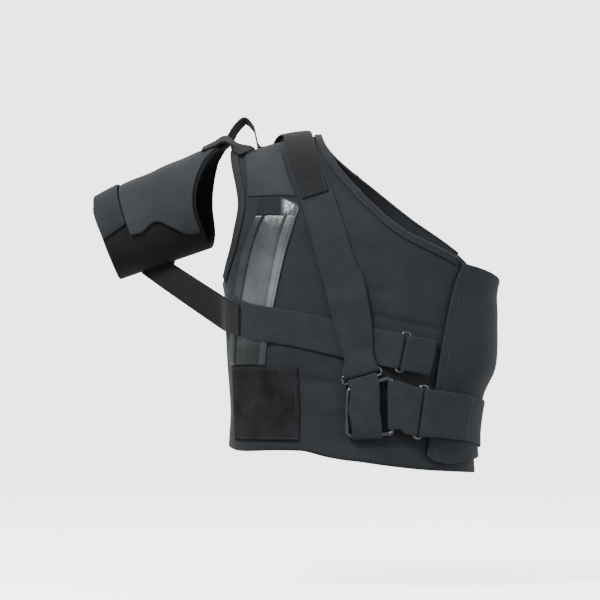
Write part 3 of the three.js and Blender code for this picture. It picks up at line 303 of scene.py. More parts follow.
# Folds of the worn front: from and to are seen from the front, in shares of the half width and the height
FOLDS = (
    {"from": (-0.86, -0.30), "to": (-0.60, -0.42), "depth": 2.2, "breadth": 9},
    {"from": (-0.55, -0.66), "to": (0.02, -0.80), "depth": 2.4, "breadth": 10},
    {"from": (-0.30, -0.835), "to": (0.05, -0.86), "depth": 2.2, "breadth": 8},
    {"from": (-0.32, -0.905), "to": (0.30, -0.885), "depth": 2.4, "breadth": 9},
    {"from": (0.02, -0.36), "to": (0.48, -0.52), "depth": 2.0, "breadth": 14},
    {"from": (0.10, -0.52), "to": (0.58, -0.60), "depth": 2.4, "breadth": 10},
    {"from": (0.30, -0.70), "to": (0.56, -0.735), "depth": 2.4, "breadth": 8},
    {"from": (-0.38, -0.25), "to": (-0.10, -0.50), "depth": 1.8, "breadth": 12},
    {"from": (0.18, -0.90), "to": (0.50, -0.93), "depth": 2.2, "breadth": 9},
    {"from": (-0.24, -0.19), "to": (-0.18, -0.21), "depth": 1.6, "breadth": 5},
    {"from": (-0.05, -0.42), "to": (0.30, -0.47), "depth": 1.8, "breadth": 7},
)
# Quilting seams that draw the foam in, as stops seen from the front in the same shares
QUILT_SEAMS = (
    ((-0.43, -0.722), (-0.28, -0.715), (-0.10, -0.726), (0.03, -0.722)),
    ((-0.43, -0.815), (-0.25, -0.825), (-0.12, -0.812), (0.05, -0.838)),
    ((-0.41, -0.900), (-0.10, -0.885), (0.20, -0.905), (0.48, -0.915)),
    ((0.04, -0.512), (0.30, -0.535), (0.60, -0.560)),
)
QUILT_DEPTH = 2.0
QUILT_BREADTH = 3.6
EASE_BUMP = 1.2
EASE_LENGTH = 70.0
FOLD_BEND = 5.0


def fold_depth(points):
    """How far the cloth is drawn in at points near the front, by its folds, seams and general ease."""
    x, z = points[..., 0], points[..., 2]
    depth = np.zeros(x.shape)
    for fold in FOLDS:
        start = np.array(fold["from"]) * (HALF_CHEST, VEST_HEIGHT)
        end = np.array(fold["to"]) * (HALF_CHEST, VEST_HEIGHT)
        run = end - start
        share = np.clip(((x - start[0]) * run[0] + (z - start[1]) * run[1]) / (run @ run), 0, 1)
        bend = FOLD_BEND * np.sin(share * math.pi * 2)
        away = np.hypot(x - start[0] - share * run[0], z - start[1] - share * run[1] + bend)
        fade = np.sin(np.clip(share, 0.02, 0.98) * math.pi) ** 0.6
        depth += fold["depth"] * fade * np.exp(-(away / fold["breadth"]) ** 2)
    for seam in QUILT_SEAMS:
        across, up = np.array(seam).T * [[HALF_CHEST], [VEST_HEIGHT]]
        level = np.interp(x, across, up)
        past = np.maximum(np.maximum(across[0] - x, x - across[-1]), 0)
        away = np.hypot(z - level, past)
        depth += QUILT_DEPTH * np.exp(-(away / QUILT_BREADTH) ** 2)
    out, up = x / EASE_LENGTH, z / EASE_LENGTH
    ease = np.sin(out * 2.1 + up) * np.sin(up * 2.7 - out * 0.8)
    return depth + EASE_BUMP * (0.5 + 0.5 * ease)


def in_part(points):
    return ((points + (SHOULDER_REST_OUT, 0, 0)) * MM).tolist()


def inside_out(points, faces):
    a, b, c, d = (points[faces[:, i]] for i in range(4))
    return np.sum(dot(a, np.cross(b, c)) + dot(a, np.cross(c, d))) < 0


def mapped_mesh(name, points, faces, uv):
    """A smooth mesh from millimetres, with uv the millimetres on the cloth at each point."""
    mesh = bpy.data.meshes.new(name)
    mesh.from_pydata(in_part(points), [], faces)
    index = np.zeros(len(mesh.loops), np.int32)
    mesh.loops.foreach_get("vertex_index", index)
    mesh.uv_layers.new(name="cloth").data.foreach_set("uv", (uv[index] * MM).ravel())
    mesh.polygons.foreach_set("use_smooth", [True] * len(mesh.polygons))
    return mesh


def cloth_mesh(name, outer, inner, uv, loop=False, bulge=0.5):
    """A closed piece from its outer and inner grids of points in millimetres, with a rounded rim.

    uv holds the millimetres along and across the cloth at each point of the grids."""
    nu, nv = outer.shape[:2]
    number = np.arange(nu * nv).reshape(nu, nv)
    wall = number.size
    faces = []

    def quads(a, b, c, d):
        faces.append(np.stack([a.ravel(), b.ravel(), c.ravel(), d.ravel()], 1))

    rows = np.vstack([number, number[:1]]) if loop else number
    quads(rows[:-1, :-1], rows[1:, :-1], rows[1:, 1:], rows[:-1, 1:])
    quads(rows[:-1, :-1] + wall, rows[:-1, 1:] + wall, rows[1:, 1:] + wall, rows[1:, :-1] + wall)
    if loop:
        rims = [(number[:, 0], number[:, 1]), (number[::-1, -1], number[::-1, -2])]
    else:
        edge = np.concatenate([number[:-1, 0], number[-1, :-1], number[:0:-1, -1], number[0, :0:-1]])
        within = np.concatenate([number[:-1, 1], number[-2, :-1], number[:0:-1, -2], number[1, :0:-1]])
        rims = [(edge, within)]
    points = [outer.reshape(-1, 3), inner.reshape(-1, 3)]
    coordinates = [uv.reshape(-1, 2), uv.reshape(-1, 2)]
    count = 2 * wall
    for edge, within in rims:
        top, bottom = points[0][edge], points[1][edge]
        away = unit(top - points[0][within])
        half = np.linalg.norm(top - bottom, axis=1, keepdims=True) / 2
        points.append((top + bottom) / 2 + away * half * bulge)
        coordinates.append(coordinates[0][edge])
        middle = count + np.arange(len(edge))
        count += len(edge)
        nxt, middle_next = np.roll(edge, -1), np.roll(middle, -1)
        quads(nxt, edge, middle, middle_next)
        quads(middle_next, middle, edge + wall, nxt + wall)
    points = np.concatenate(points)
    coordinates = np.concatenate(coordinates)
    faces = np.concatenate(faces)
    if inside_out(points, faces):
        faces = faces[:, ::-1]
    return mapped_mesh(name, points, faces.tolist(), coordinates)


def piece(mesh, material, slot, *nodes):
    """Puts a finished mesh on the part in place of its plain solids; None keeps the mesh's material."""
    if material:
        mesh.materials.append(material)
    made = bpy.data.objects.new(mesh.name, mesh)
    bpy.context.scene.collection.objects.link(made)
    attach(made, "root")
    if nodes:
        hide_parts(*nodes)


def group_tree(name, colours, numbers):
    """A shader node group for a cloth's face, with named inputs, and its input and output nodes."""
    tree = bpy.data.node_groups.new(name, "ShaderNodeTree")
    tree.interface.new_socket("Coordinates", in_out="INPUT", socket_type="NodeSocketVector")
    for kind, values in (("NodeSocketColor", colours), ("NodeSocketFloat", numbers)):
        for socket, value in values.items():
            tree.interface.new_socket(socket, in_out="INPUT", socket_type=kind).default_value = value
    for socket, kind in (("Colour", "Color"), ("Roughness", "Float"), ("Height", "Float")):
        tree.interface.new_socket(socket, in_out="OUTPUT", socket_type="NodeSocket" + kind)
    return tree, tree.nodes.new("NodeGroupInput"), tree.nodes.new("NodeGroupOutput")


def link(tree, source, target):
    tree.links.new(source, target)


def number_node(tree, operation, first, second):
    node = tree.nodes.new("ShaderNodeMath")
    node.operation = operation
    for socket, value in zip(node.inputs, (first, second)):
        if isinstance(value, (int, float)):
            socket.default_value = value
        else:
            link(tree, value, socket)
    return node.outputs[0]


def noise_node(tree, coordinates, scale, detail=2.0, stretch=None):
    if stretch:
        mapping = tree.nodes.new("ShaderNodeMapping")
        mapping.inputs["Scale"].default_value = stretch
        link(tree, coordinates, mapping.inputs["Vector"])
        coordinates = mapping.outputs["Vector"]
    node = tree.nodes.new("ShaderNodeTexNoise")
    link(tree, coordinates, node.inputs["Vector"])
    node.inputs["Detail"].default_value = detail
    if isinstance(scale, (int, float)):
        node.inputs["Scale"].default_value = scale
    else:
        link(tree, scale, node.inputs["Scale"])
    return node.outputs["Fac"]


def colour_between(tree, factor, low, high):
    node = tree.nodes.new("ShaderNodeMix")
    node.data_type = "RGBA"
    link(tree, factor, node.inputs[0])
    for socket, value in ((node.inputs[6], low), (node.inputs[7], high)):
        if isinstance(value, tuple):
            socket.default_value = value
        else:
            link(tree, value, socket)
    return node.outputs[2]


def spread_node(tree, value, low, high, to_low, to_high):
    node = tree.nodes.new("ShaderNodeMapRange")
    link(tree, value, node.inputs["Value"])
    for socket, end in zip(("From Min", "From Max", "To Min", "To Max"), (low, high, to_low, to_high)):
        node.inputs[socket].default_value = end
    return node.outputs["Result"]


# Nap: the brushed face of loop cloth, with short fibres, cloudy patches and a little lint
nap_tree, nap_in, nap_out = group_tree(
    "nap", {"Colour": (0.05, 0.05, 0.05, 1), "Fibre Colour": (0.1, 0.1, 0.1, 1)}, {"Fibre Scale": 900.0})
nap_place = nap_in.outputs["Coordinates"]
nap_fibre = noise_node(nap_tree, nap_place, nap_in.outputs["Fibre Scale"], 3.0, (1.0, 1.0, 0.45))
nap_cloud = noise_node(nap_tree, nap_place, 38.0, 3.0)
nap_worn = noise_node(nap_tree, nap_place, 9.0, 2.0)
nap_tuft = noise_node(nap_tree, nap_place, 260.0, 2.0)
nap_mask = number_node(nap_tree, "MULTIPLY_ADD", nap_fibre, 0.7)
nap_mask.node.inputs[2].default_value = -0.12
nap_patch = spread_node(nap_tree, nap_cloud, 0.3, 0.7, 0.0, 0.35)
nap_wide = spread_node(nap_tree, nap_worn, 0.35, 0.65, 0.0, 0.25)
nap_total = number_node(nap_tree, "ADD", number_node(nap_tree, "ADD", nap_mask, nap_patch), nap_wide)
nap_colour = colour_between(nap_tree, nap_total, nap_in.outputs["Colour"], nap_in.outputs["Fibre Colour"])
link(nap_tree, nap_colour, nap_out.inputs["Colour"])
link(nap_tree, spread_node(nap_tree, nap_cloud, 0.2, 0.8, 0.78, 0.96), nap_out.inputs["Roughness"])
link(nap_tree, number_node(nap_tree, "ADD", nap_fibre, nap_tuft), nap_out.inputs["Height"])


def new_material(name, coordinates="Object"):
    material = bpy.data.materials.new(name)
    material.use_nodes = True
    tree = material.node_tree
    shader = tree.nodes["Principled BSDF"]
    source = tree.nodes.new("ShaderNodeTexCoord")
    return material, tree, shader, source.outputs[coordinates]


def raise_surface(tree, shader, height, distance, strength):
    bump = tree.nodes.new("ShaderNodeBump")
    bump.inputs["Distance"].default_value = distance
    bump.inputs["Strength"].default_value = strength
    link(tree, height, bump.inputs["Height"])
    link(tree, bump.outputs["Normal"], shader.inputs["Normal"])


def group_material(name, group, values, relief, gloss, sheen=0.0, coordinates="Object"):
    """A material whose face a group draws; relief is the bump's distance and strength."""
    material, tree, shader, place = new_material(name, coordinates)
    node = tree.nodes.new("ShaderNodeGroup")
    node.node_tree = group
    link(tree, place, node.inputs["Coordinates"])
    for socket, value in values.items():
        node.inputs[socket].default_value = value
    link(tree, node.outputs["Colour"], shader.inputs["Base Color"])
    link(tree, node.outputs["Roughness"], shader.inputs["Roughness"])
    raise_surface(tree, shader, node.outputs["Height"], *relief)
    shader.inputs["Specular IOR Level"].default_value = gloss
    shader.inputs["Sheen Weight"].default_value = sheen
    shader.inputs["Sheen Roughness"].default_value = 0.5
    return material


CLOTH_GLOSS = 0.12
NAP_RELIEF = (0.0009, 0.55)


def nap_material(name, colour, fibre, scale=900.0, sheen=0.06):
    values = {"Colour": colour, "Fibre Colour": fibre, "Fibre Scale": scale}
    return group_material(name, nap_tree, values, NAP_RELIEF, CLOTH_GLOSS, sheen)


VEST_COLOUR = (0.0055, 0.0064, 0.0074, 1)
VEST_FIBRE = (0.0150, 0.0170, 0.0190, 1)
vest_cloth = nap_material("vest_loop_cloth", VEST_COLOUR, VEST_FIBRE)
VEST_FINE = (150, 190)
RIM_SHARE = 12


def grid(columns, rows):
    return np.meshgrid(np.linspace(0, 1, columns + 1), np.linspace(0, 1, rows + 1), indexing="ij")


def length_along(points):
    return np.concatenate([[0], np.cumsum(np.linalg.norm(np.diff(points, axis=0), axis=1))])


def lengths(points):
    """Millimetres along and across a grid of points, measured on its middle lines."""
    u = length_along(points[:, points.shape[1] // 2])
    v = length_along(points[points.shape[0] // 2])
    return np.stack(np.meshgrid(u, v, indexing="ij"), -1)


def cloth(name, outer, inner, material, slot, loop=False):
    piece(cloth_mesh(name + "_cloth", outer, inner, lengths(outer), loop), material, slot, name)


def vest_panel(name, table, side):
    along, height = grid(*VEST_FINE)
    turn, climb = vest_spot(table, side, along, height)
    drawn = fold_depth(skin(turn, climb))
    edge = smooth(np.minimum(np.minimum(along, 1 - along), np.minimum(height, 1 - height)) * RIM_SHARE)
    outer = lay(turn, climb, VEST_WALL - drawn * edge)
    inner = lay(turn, climb, -drawn * edge)
    cloth(name, outer, inner, vest_cloth, "vest_cloth")


vest_panel("vest_front", FRONT_ROWS, BEFORE)
vest_panel("vest_back", BACK_ROWS, BEHIND)

# Closing flap
# The front's wing wraps the wearer's left flank, over both panels, and closes on their loop face.
# Its free edge at the front is cut round at the foot.
FLAP_WALL = 3.5
FLAP_GAP = 2.7
FLAP_ROWS = {
    "front_across": (0.64, 0.51, 0.505, 0.565, 0.625, 0.690, 0.760),
    "up": (-0.968, -0.950, -0.900, -0.720, -0.570, -0.440, -0.362),
    "back_up": (-0.930, -0.915, -0.880, -0.740, -0.610, -0.520, -0.455),
}
FLAP_BACK_ANGLE = math.radians(128)
FLAP_FINE = (80, 90)
FLAP_BUMP = 0.5
FLAP_FACE = VEST_WALL + FLAP_GAP + FLAP_WALL


def flap_spot(along, height):
    front_turn, front_climb = placed(
        read_row(FLAP_ROWS, "front_across", height), read_row(FLAP_ROWS, "up", height))
    back = DOME_HEIGHT + read_row(FLAP_ROWS, "back_up", height) * VEST_HEIGHT
    return mix(front_turn, FLAP_BACK_ANGLE, along), mix(front_climb, back, along)


flap_turn, flap_climb = flap_spot(*grid(*FLAP_FINE))
flap_ease = 0.5 + 0.5 * np.sin(flap_climb / 26 + flap_turn * 5) * np.sin(flap_turn * 7 - flap_climb / 60)
flap_outer = lay(flap_turn, flap_climb, FLAP_FACE + FLAP_BUMP * flap_ease)
flap_inner = lay(flap_turn, flap_climb, VEST_WALL + FLAP_GAP + FLAP_BUMP * flap_ease)
cloth("side_flap", flap_outer, flap_inner, vest_cloth, "vest_cloth")

# Seams
# Every edge and strap end is held by lockstitch in dark polyester thread. A row of stitches is a line
# over the cloth, beaded with short rounded lengths of thread.
THREAD_RADIUS = 0.00038
STITCH_LENGTH = 0.0024
STITCH_PITCH = 0.0034
THREAD_LIFT = 0.1


def geometry_tree(name, sizes, material):
    """A tree over lines, with named sizes and one material as inputs, and its first and last nodes."""
    tree = bpy.data.node_groups.new(name, "GeometryNodeTree")
    tree.interface.new_socket("Geometry", in_out="INPUT", socket_type="NodeSocketGeometry")
    for socket, value in sizes.items():
        made = tree.interface.new_socket(socket, in_out="INPUT", socket_type="NodeSocketFloat")
        made.default_value = value
    tree.interface.new_socket(material, in_out="INPUT", socket_type="NodeSocketMaterial")
    tree.interface.new_socket("Geometry", in_out="OUTPUT", socket_type="NodeSocketGeometry")
    given, line = tree.nodes.new("NodeGroupInput"), tree.nodes.new("GeometryNodeMeshToCurve")
    link(tree, given.outputs["Geometry"], line.inputs["Mesh"])
    smooth_faces = tree.nodes.new("GeometryNodeSetShadeSmooth")
    real = tree.nodes.new("GeometryNodeRealizeInstances")
    coat = tree.nodes.new("GeometryNodeSetMaterial")
    made = tree.nodes.new("NodeGroupOutput")
    link(tree, smooth_faces.outputs["Geometry"], real.inputs["Geometry"])
    link(tree, real.outputs["Geometry"], coat.inputs["Geometry"])
    link(tree, given.outputs[material], coat.inputs["Material"])
    link(tree, coat.outputs["Geometry"], made.inputs["Geometry"])
    return tree, given, line.outputs["Curve"], smooth_faces.inputs["Geometry"]


def stitch_row_tree():
    tree, given, line, surface = geometry_tree(
        "stitch_row", {"Pitch": STITCH_PITCH, "Length": STITCH_LENGTH, "Radius": THREAD_RADIUS}, "Thread")
    nodes = tree.nodes
    dots = nodes.new("GeometryNodeCurveToPoints")
    dots.mode = "LENGTH"
    bead = nodes.new("GeometryNodeMeshUVSphere")
    bead.inputs["Segments"].default_value = 6
    bead.inputs["Rings"].default_value = 4
    bead.inputs["Radius"].default_value = 1.0
    aim = nodes.new("FunctionNodeAlignRotationToVector")
    aim.axis = "Z"
    half = nodes.new("ShaderNodeMath")
    half.operation = "MULTIPLY"
    half.inputs[1].default_value = 0.5
    size = nodes.new("ShaderNodeCombineXYZ")
    sew = nodes.new("GeometryNodeInstanceOnPoints")
    for source, target in (
            (line, dots.inputs["Curve"]), (given.outputs["Pitch"], dots.inputs["Length"]),
            (dots.outputs["Tangent"], aim.inputs["Vector"]), (given.outputs["Length"], half.inputs[0]),
            (given.outputs["Radius"], size.inputs["X"]), (given.outputs["Radius"], size.inputs["Y"]),
            (half.outputs[0], size.inputs["Z"]), (dots.outputs["Points"], sew.inputs["Points"]),
            (bead.outputs["Mesh"], sew.inputs["Instance"]),
            (aim.outputs["Rotation"], sew.inputs["Rotation"]),
            (size.outputs["Vector"], sew.inputs["Scale"]), (sew.outputs["Instances"], surface)):
        link(tree, source, target)
    return tree


stitch_tree = stitch_row_tree()


def thread_material(name, colour):
    material, tree, shader, place = new_material(name)
    twist = noise_node(tree, place, 2600.0, 1.0)
    darker = tuple(0.6 * part for part in colour[:3]) + (1,)
    link(tree, colour_between(tree, twist, darker, colour), shader.inputs["Base Color"])
    raise_surface(tree, shader, twist, 0.0002, 0.6)
    shader.inputs["Roughness"].default_value = 0.6
    return material


dark_thread = thread_material("dark_thread", (0.014, 0.0155, 0.017, 1))
black_thread = thread_material("black_thread", (0.004, 0.0045, 0.005, 1))


def made_by_tree(name, lines, closed, tree, values):
    """Runs a tree over lines of points in millimetres and returns the plain mesh it makes."""
    points, edges = [], []
    for line in lines:
        start = len(points)
        points.extend(in_part(line))
        edges.extend((start + i, start + i + 1) for i in range(len(line) - 1))
        if closed:
            edges.append((len(points) - 1, start))
    path = bpy.data.meshes.new(name + "_path")
    path.from_pydata(points, edges, [])
    carrier = bpy.data.objects.new(name + "_path", path)
    bpy.context.scene.collection.objects.link(carrier)
    modifier = carrier.modifiers.new("tree", "NODES")
    modifier.node_group = tree
    for item in tree.interface.items_tree:
        if item.item_type == "SOCKET" and item.in_out == "INPUT" and item.name in values:
            modifier[item.identifier] = values[item.name]
    graph = bpy.context.evaluated_depsgraph_get()
    mesh = bpy.data.meshes.new_from_object(carrier.evaluated_get(graph), depsgraph=graph)
    mesh.name = name
    bpy.data.objects.remove(carrier)
    return mesh


def stitches(name, lines, thread=dark_thread, slot="binding_tape", **sizes):
    piece(made_by_tree(name, lines, False, stitch_tree, {"Thread": thread, **sizes}), None, slot)


SEAM_STEPS = 160
HEM_SEAM_UP = 0.012
FLAP_SEAM_IN = 0.045
FLAP_SEAM_LIFT = 0.4
seam_share = np.linspace(0, 1, SEAM_STEPS)
hem_lines = []
for hem_table, hem_side in ((FRONT_ROWS, BEFORE), (BACK_ROWS, BEHIND)):
    hem_turn, hem_climb = vest_spot(hem_table, hem_side, np.clip(seam_share, 0.01, 0.99), HEM_SEAM_UP * 2)
    hem_lines.append(lay(hem_turn, hem_climb, VEST_WALL + THREAD_LIFT))
stitches("hem_stitches", hem_lines)
quilt_lines = []
for quilt_seam in QUILT_SEAMS:
    seam_across, seam_up = np.array(quilt_seam).T
    along_across = np.linspace(seam_across[0], seam_across[-1], SEAM_STEPS)
    quilt_turn, quilt_climb = placed(along_across, np.interp(along_across, seam_across, seam_up))
    quilt_drawn = fold_depth(skin(quilt_turn, quilt_climb))
    quilt_lines.append(lay(quilt_turn, quilt_climb, VEST_WALL + THREAD_LIFT - quilt_drawn))
stitches("quilt_stitches", quilt_lines, black_thread, "vest_cloth")
flap_across = np.clip(seam_share, 0.05, 0.95)
flap_height = np.clip(seam_share, 0.02, 0.98)
stitches("flap_stitches", [
    lay(*flap_spot(*np.broadcast_arrays(across, height)), FLAP_FACE + FLAP_SEAM_LIFT)
    for across, height in ((FLAP_SEAM_IN, flap_height), (flap_across, 0.02), (flap_across, 0.98))
])

# Bindings
# Knitted tape, 8 mm to the face, is folded over the raw edges of the neckline and the arm hole and
# sewn down near its inner edge.
BINDING_WIDTH = 8.0
BINDING_WALL = 1.2
TAPE_GAP = 1.5
ON_TAPE = VEST_WALL + TAPE_GAP
EDGE_GAP = 2.4
FOLD_OUT = 1.6 - EDGE_GAP
EDGE_INSET = 0.05
NECK_FIRST_SHARE = 8 / 20
ARM_FIRST_SHARE = 7 / 20
TAPE_STATIONS = 220
TAPE_TURNS = 8

# Rib: knitted or woven ribs across a tape or strap, read from its own map in metres
rib_tree, rib_in, rib_out = group_tree(
    "rib", {"Colour": (0.03, 0.03, 0.03, 1), "Rib Colour": (0.06, 0.06, 0.06, 1)},
    {"Rib Pitch": 0.0014, "Cross Pitch": 0.0018})
rib_apart = rib_tree.nodes.new("ShaderNodeSeparateXYZ")
link(rib_tree, rib_in.outputs["Coordinates"], rib_apart.inputs[0])


def wave_of(tree, value, pitch):
    turns = number_node(tree, "DIVIDE", value, pitch)
    return number_node(tree, "SINE", number_node(tree, "MULTIPLY", turns, 2 * math.pi), 0.0)


rib_along = wave_of(rib_tree, rib_apart.outputs["X"], rib_in.outputs["Rib Pitch"])
rib_across = wave_of(rib_tree, rib_apart.outputs["Y"], rib_in.outputs["Cross Pitch"])
rib_weave = number_node(rib_tree, "MULTIPLY", rib_along, rib_across)
rib_fuzz = noise_node(rib_tree, rib_in.outputs["Coordinates"], 1400.0, 2.0)
rib_fade = noise_node(rib_tree, rib_in.outputs["Coordinates"], 45.0, 2.0)
rib_height = number_node(rib_tree, "ADD", spread_node(rib_tree, rib_weave, -1, 1, 0, 1), rib_fuzz)
rib_tone = number_node(rib_tree, "ADD", spread_node(rib_tree, rib_height, 0.3, 1.6, 0, 0.7),
                       spread_node(rib_tree, rib_fade, 0.35, 0.7, 0, 0.4))
link(rib_tree, colour_between(rib_tree, rib_tone, rib_in.outputs["Colour"], rib_in.outputs["Rib Colour"]),
     rib_out.inputs["Colour"])
link(rib_tree, spread_node(rib_tree, rib_fade, 0.2, 0.8, 0.7, 0.92), rib_out.inputs["Roughness"])
link(rib_tree, rib_height, rib_out.inputs["Height"])


RIB_SHEEN = 0.05
RIB_STRENGTH = 0.7


def rib_material(name, colour, rib, pitch, cross, depth):
    values = {"Colour": colour, "Rib Colour": rib, "Rib Pitch": pitch, "Cross Pitch": cross}
    return group_material(name, rib_tree, values, (depth, RIB_STRENGTH), CLOTH_GLOSS, RIB_SHEEN, "UV")


binding_tape = rib_material(
    "binding_knit", (0.0045, 0.005, 0.006, 1), (0.0155, 0.017, 0.019, 1), 0.0016, 0.0016, 0.0004)


def shifted(turn, climb, move):
    """A spot moved by a short vector along the skin."""
    round_way, up_way, _ = slopes(turn, climb)
    rr, uu, ru = dot(round_way, round_way), dot(up_way, up_way), dot(round_way, up_way)
    mr, mu = dot(move, round_way), dot(move, up_way)
    det = rr * uu - ru * ru
    return turn + ((mr * uu - mu * ru) / det)[..., 0], climb + ((mu * rr - mr * ru) / det)[..., 0]


def tape_section():
    """The folded tape's outline in its own plane: how far in from the edge, and the lift above the skin."""
    low, high = ON_TAPE - 0.9, ON_TAPE + BINDING_WALL
    outside = [(BINDING_WIDTH, low + 0.2), (BINDING_WIDTH - 0.2, high - 0.5),
               (BINDING_WIDTH - 0.9, high - 0.1), (BINDING_WIDTH - 2.2, high - 0.45),
               (BINDING_WIDTH - 3.4, high)]
    middle, radius = high / 2 - 0.3, high / 2 + 0.3
    for step in range(TAPE_TURNS + 1):
        angle = math.pi * step / TAPE_TURNS
        outside.append((FOLD_OUT - 2.2 * math.sin(angle), middle + radius * math.cos(angle)))
    return outside + [(FOLD_OUT, 0.3), (FOLD_OUT, VEST_WALL + 0.3), (BINDING_WIDTH - 1, VEST_WALL + 0.3)]


def tape_run(table, side, along, first):
    """The spots of an edge from its first row up to the ridge, with the way in from it."""
    share = np.linspace(first, 0.998, TAPE_STATIONS // 2)
    turn, climb = vest_spot(table, side, np.full(share.shape, along), share)
    inset = along + (EDGE_INSET if along < 0.5 else -EDGE_INSET)
    in_turn, in_climb = vest_spot(table, side, np.full(share.shape, inset), share)
    points = skin(turn, climb)
    run = unit(np.gradient(points, axis=0))
    towards = skin(in_turn, in_climb) - points
    towards = unit(towards - dot(towards, run) * run)
    return turn, climb, towards


def swept_mesh(name, rings, ring_length):
    """A closed tube of rings of points, capped at both ends, with a map along and around it."""
    stations, sides = rings.shape[:2]
    number = np.arange(stations * sides).reshape(stations, sides)
    side_next = np.roll(number, -1, axis=1)
    points = rings.reshape(-1, 3)
    corners = (number[:-1], number[1:], side_next[1:], side_next[:-1])
    faces = np.stack([corner.ravel() for corner in corners], 1)
    flip = inside_out(points, faces)
    faces = faces.tolist() + [number[0].tolist(), number[-1][::-1].tolist()]
    if flip:
        faces = [face[::-1] for face in faces]
    uv = np.stack(np.broadcast_arrays(length_along(rings[:, 0])[:, None], ring_length[None, :]), -1)
    return mapped_mesh(name, points, faces, uv.reshape(-1, 2))


def bound_edge(name, along, first):
    front = tape_run(FRONT_ROWS, BEFORE, along, first)
    back = tape_run(BACK_ROWS, BEHIND, along, first)
    section = tape_section()
    stations = []
    for turn, climb, towards in (front, tuple(part[::-1] for part in back)):
        ring = []
        for inward, lift in section:
            spot = shifted(turn, climb, towards * inward)
            ring.append(lay(*spot, np.full(turn.shape, lift)))
        stations.append(np.stack(ring, 1))
    rings = np.concatenate(stations)
    around = length_along(np.array(section))
    piece(swept_mesh(name, rings, around), binding_tape, "binding_tape", name + "_front", name + "_back")
    sewn_in, sewn_lift = section[3]
    lines = []
    for turn, climb, towards in (front, back):
        spot = shifted(turn, climb, towards * sewn_in)
        lines.append(lay(*spot, np.full(turn.shape, sewn_lift + THREAD_LIFT)))
    stitches(name + "_stitches", lines)


bound_edge("neck_binding", 1.0, NECK_FIRST_SHARE)
bound_edge("arm_binding", 0.0, ARM_FIRST_SHARE)

# Shoulder panel, stay pocket and hook patch
# A second layer of paler loop cloth covers the front of the shoulder. Below it a pocket of smooth
# coated cloth, trimmed and stitched, holds a stay, and a square of black hooks sits at its foot.
PANEL_WALL = 1.2
TRIM_WALL = 1.8
PATCH_WALL = 2.0
ON_VEST = VEST_WALL + SEAT_GAP
POCKET_ROWS = {
    "up": (-0.668, -0.570, -0.450, -0.345, -0.270, -0.218),
    "left": (-0.935, -0.935, -0.905, -0.868, -0.815, -0.765),
    "window": (-0.900, -0.890, -0.850, -0.805, -0.755, -0.700),
    "trim": (-0.735, -0.712, -0.665, -0.620, -0.575, -0.530),
    "right": (-0.690, -0.664, -0.610, -0.555, -0.500, -0.462),
}
POCKET_CAP_ROWS = {
    "up": (-0.224, -0.190, -0.168), "left": (-0.765, -0.745, -0.730), "right": (-0.462, -0.455, -0.590)}
SHOULDER_PANEL_ROWS = {
    "up": (-0.164, -0.110, -0.055, -0.034), "left": (-0.825, -0.830, -0.850, -0.858),
    "right": (-0.472, -0.525, -0.560, -0.575)}
HOOK_PATCH_ROWS = {
    "up": (-0.895, -0.790, -0.675), "left": (-0.900, -0.910, -0.920), "right": (-0.440, -0.440, -0.455)}
SEWN_DOWN = 0.55
UNDER_PATCH = 0.5
PATCH_SEAM_IN = 0.03


def patch_spot(table, left, right, across, height):
    up = read_row(table, "up", height)
    from_turn, from_climb = placed(read_row(table, left, height), up)
    to_turn, to_climb = placed(read_row(table, right, height), up)
    return mix(from_turn, to_turn, across), mix(from_climb, to_climb, across)


def patch(name, table, left, right, lift, wall, crown, material, slot, size=(40, 60)):
    across, height = grid(*size)
    turn, climb = patch_spot(table, left, right, across, height)
    rim = smooth(np.minimum(np.minimum(across, 1 - across) * 9, np.minimum(height, 1 - height) * 45))
    thick = wall * mix(SEWN_DOWN, 1.0, rim) + crown * rim
    cloth(name, lay(turn, climb, lift + thick), lay(turn, climb, lift - UNDER_PATCH), material, slot)


def patch_seam(table, left, right, across, height, lift):
    return lay(*patch_spot(table, left, right, across, height), lift)


panel_cloth = nap_material("panel_loop_cloth", (0.0085, 0.0095, 0.0107, 1), (0.0225, 0.0245, 0.0270, 1))
patch("shoulder_panel", SHOULDER_PANEL_ROWS, "left", "right", ON_VEST, PANEL_WALL, 0.3, panel_cloth,
      "panel_cloth")

# Coated: a smooth plastic face on cloth, with soft creases, a fine grain and rubbed places. Its colour can
# be darkened towards its foot and its head, between levels in metres, as painted shade
FOOT_PAINTED_SHADE_LEVELS = (-0.285, -0.240)
HEAD_PAINTED_SHADE_LEVELS = (-0.215, -0.110)
coated_tree, coated_in, coated_out = group_tree(
    "coated", {"Colour": (0.15, 0.15, 0.16, 1), "Rubbed Colour": (0.3, 0.3, 0.3, 1)}, {"End Painted Shade": 0.0})
coated_place = coated_in.outputs["Coordinates"]
coated_crease = noise_node(coated_tree, coated_place, 60.0, 3.0, (1.0, 1.0, 0.35))
coated_grain = noise_node(coated_tree, coated_place, 1500.0, 2.0)
coated_rub = noise_node(coated_tree, coated_place, 22.0, 4.0)
coated_height = coated_tree.nodes.new("ShaderNodeSeparateXYZ")
link(coated_tree, coated_place, coated_height.inputs[0])
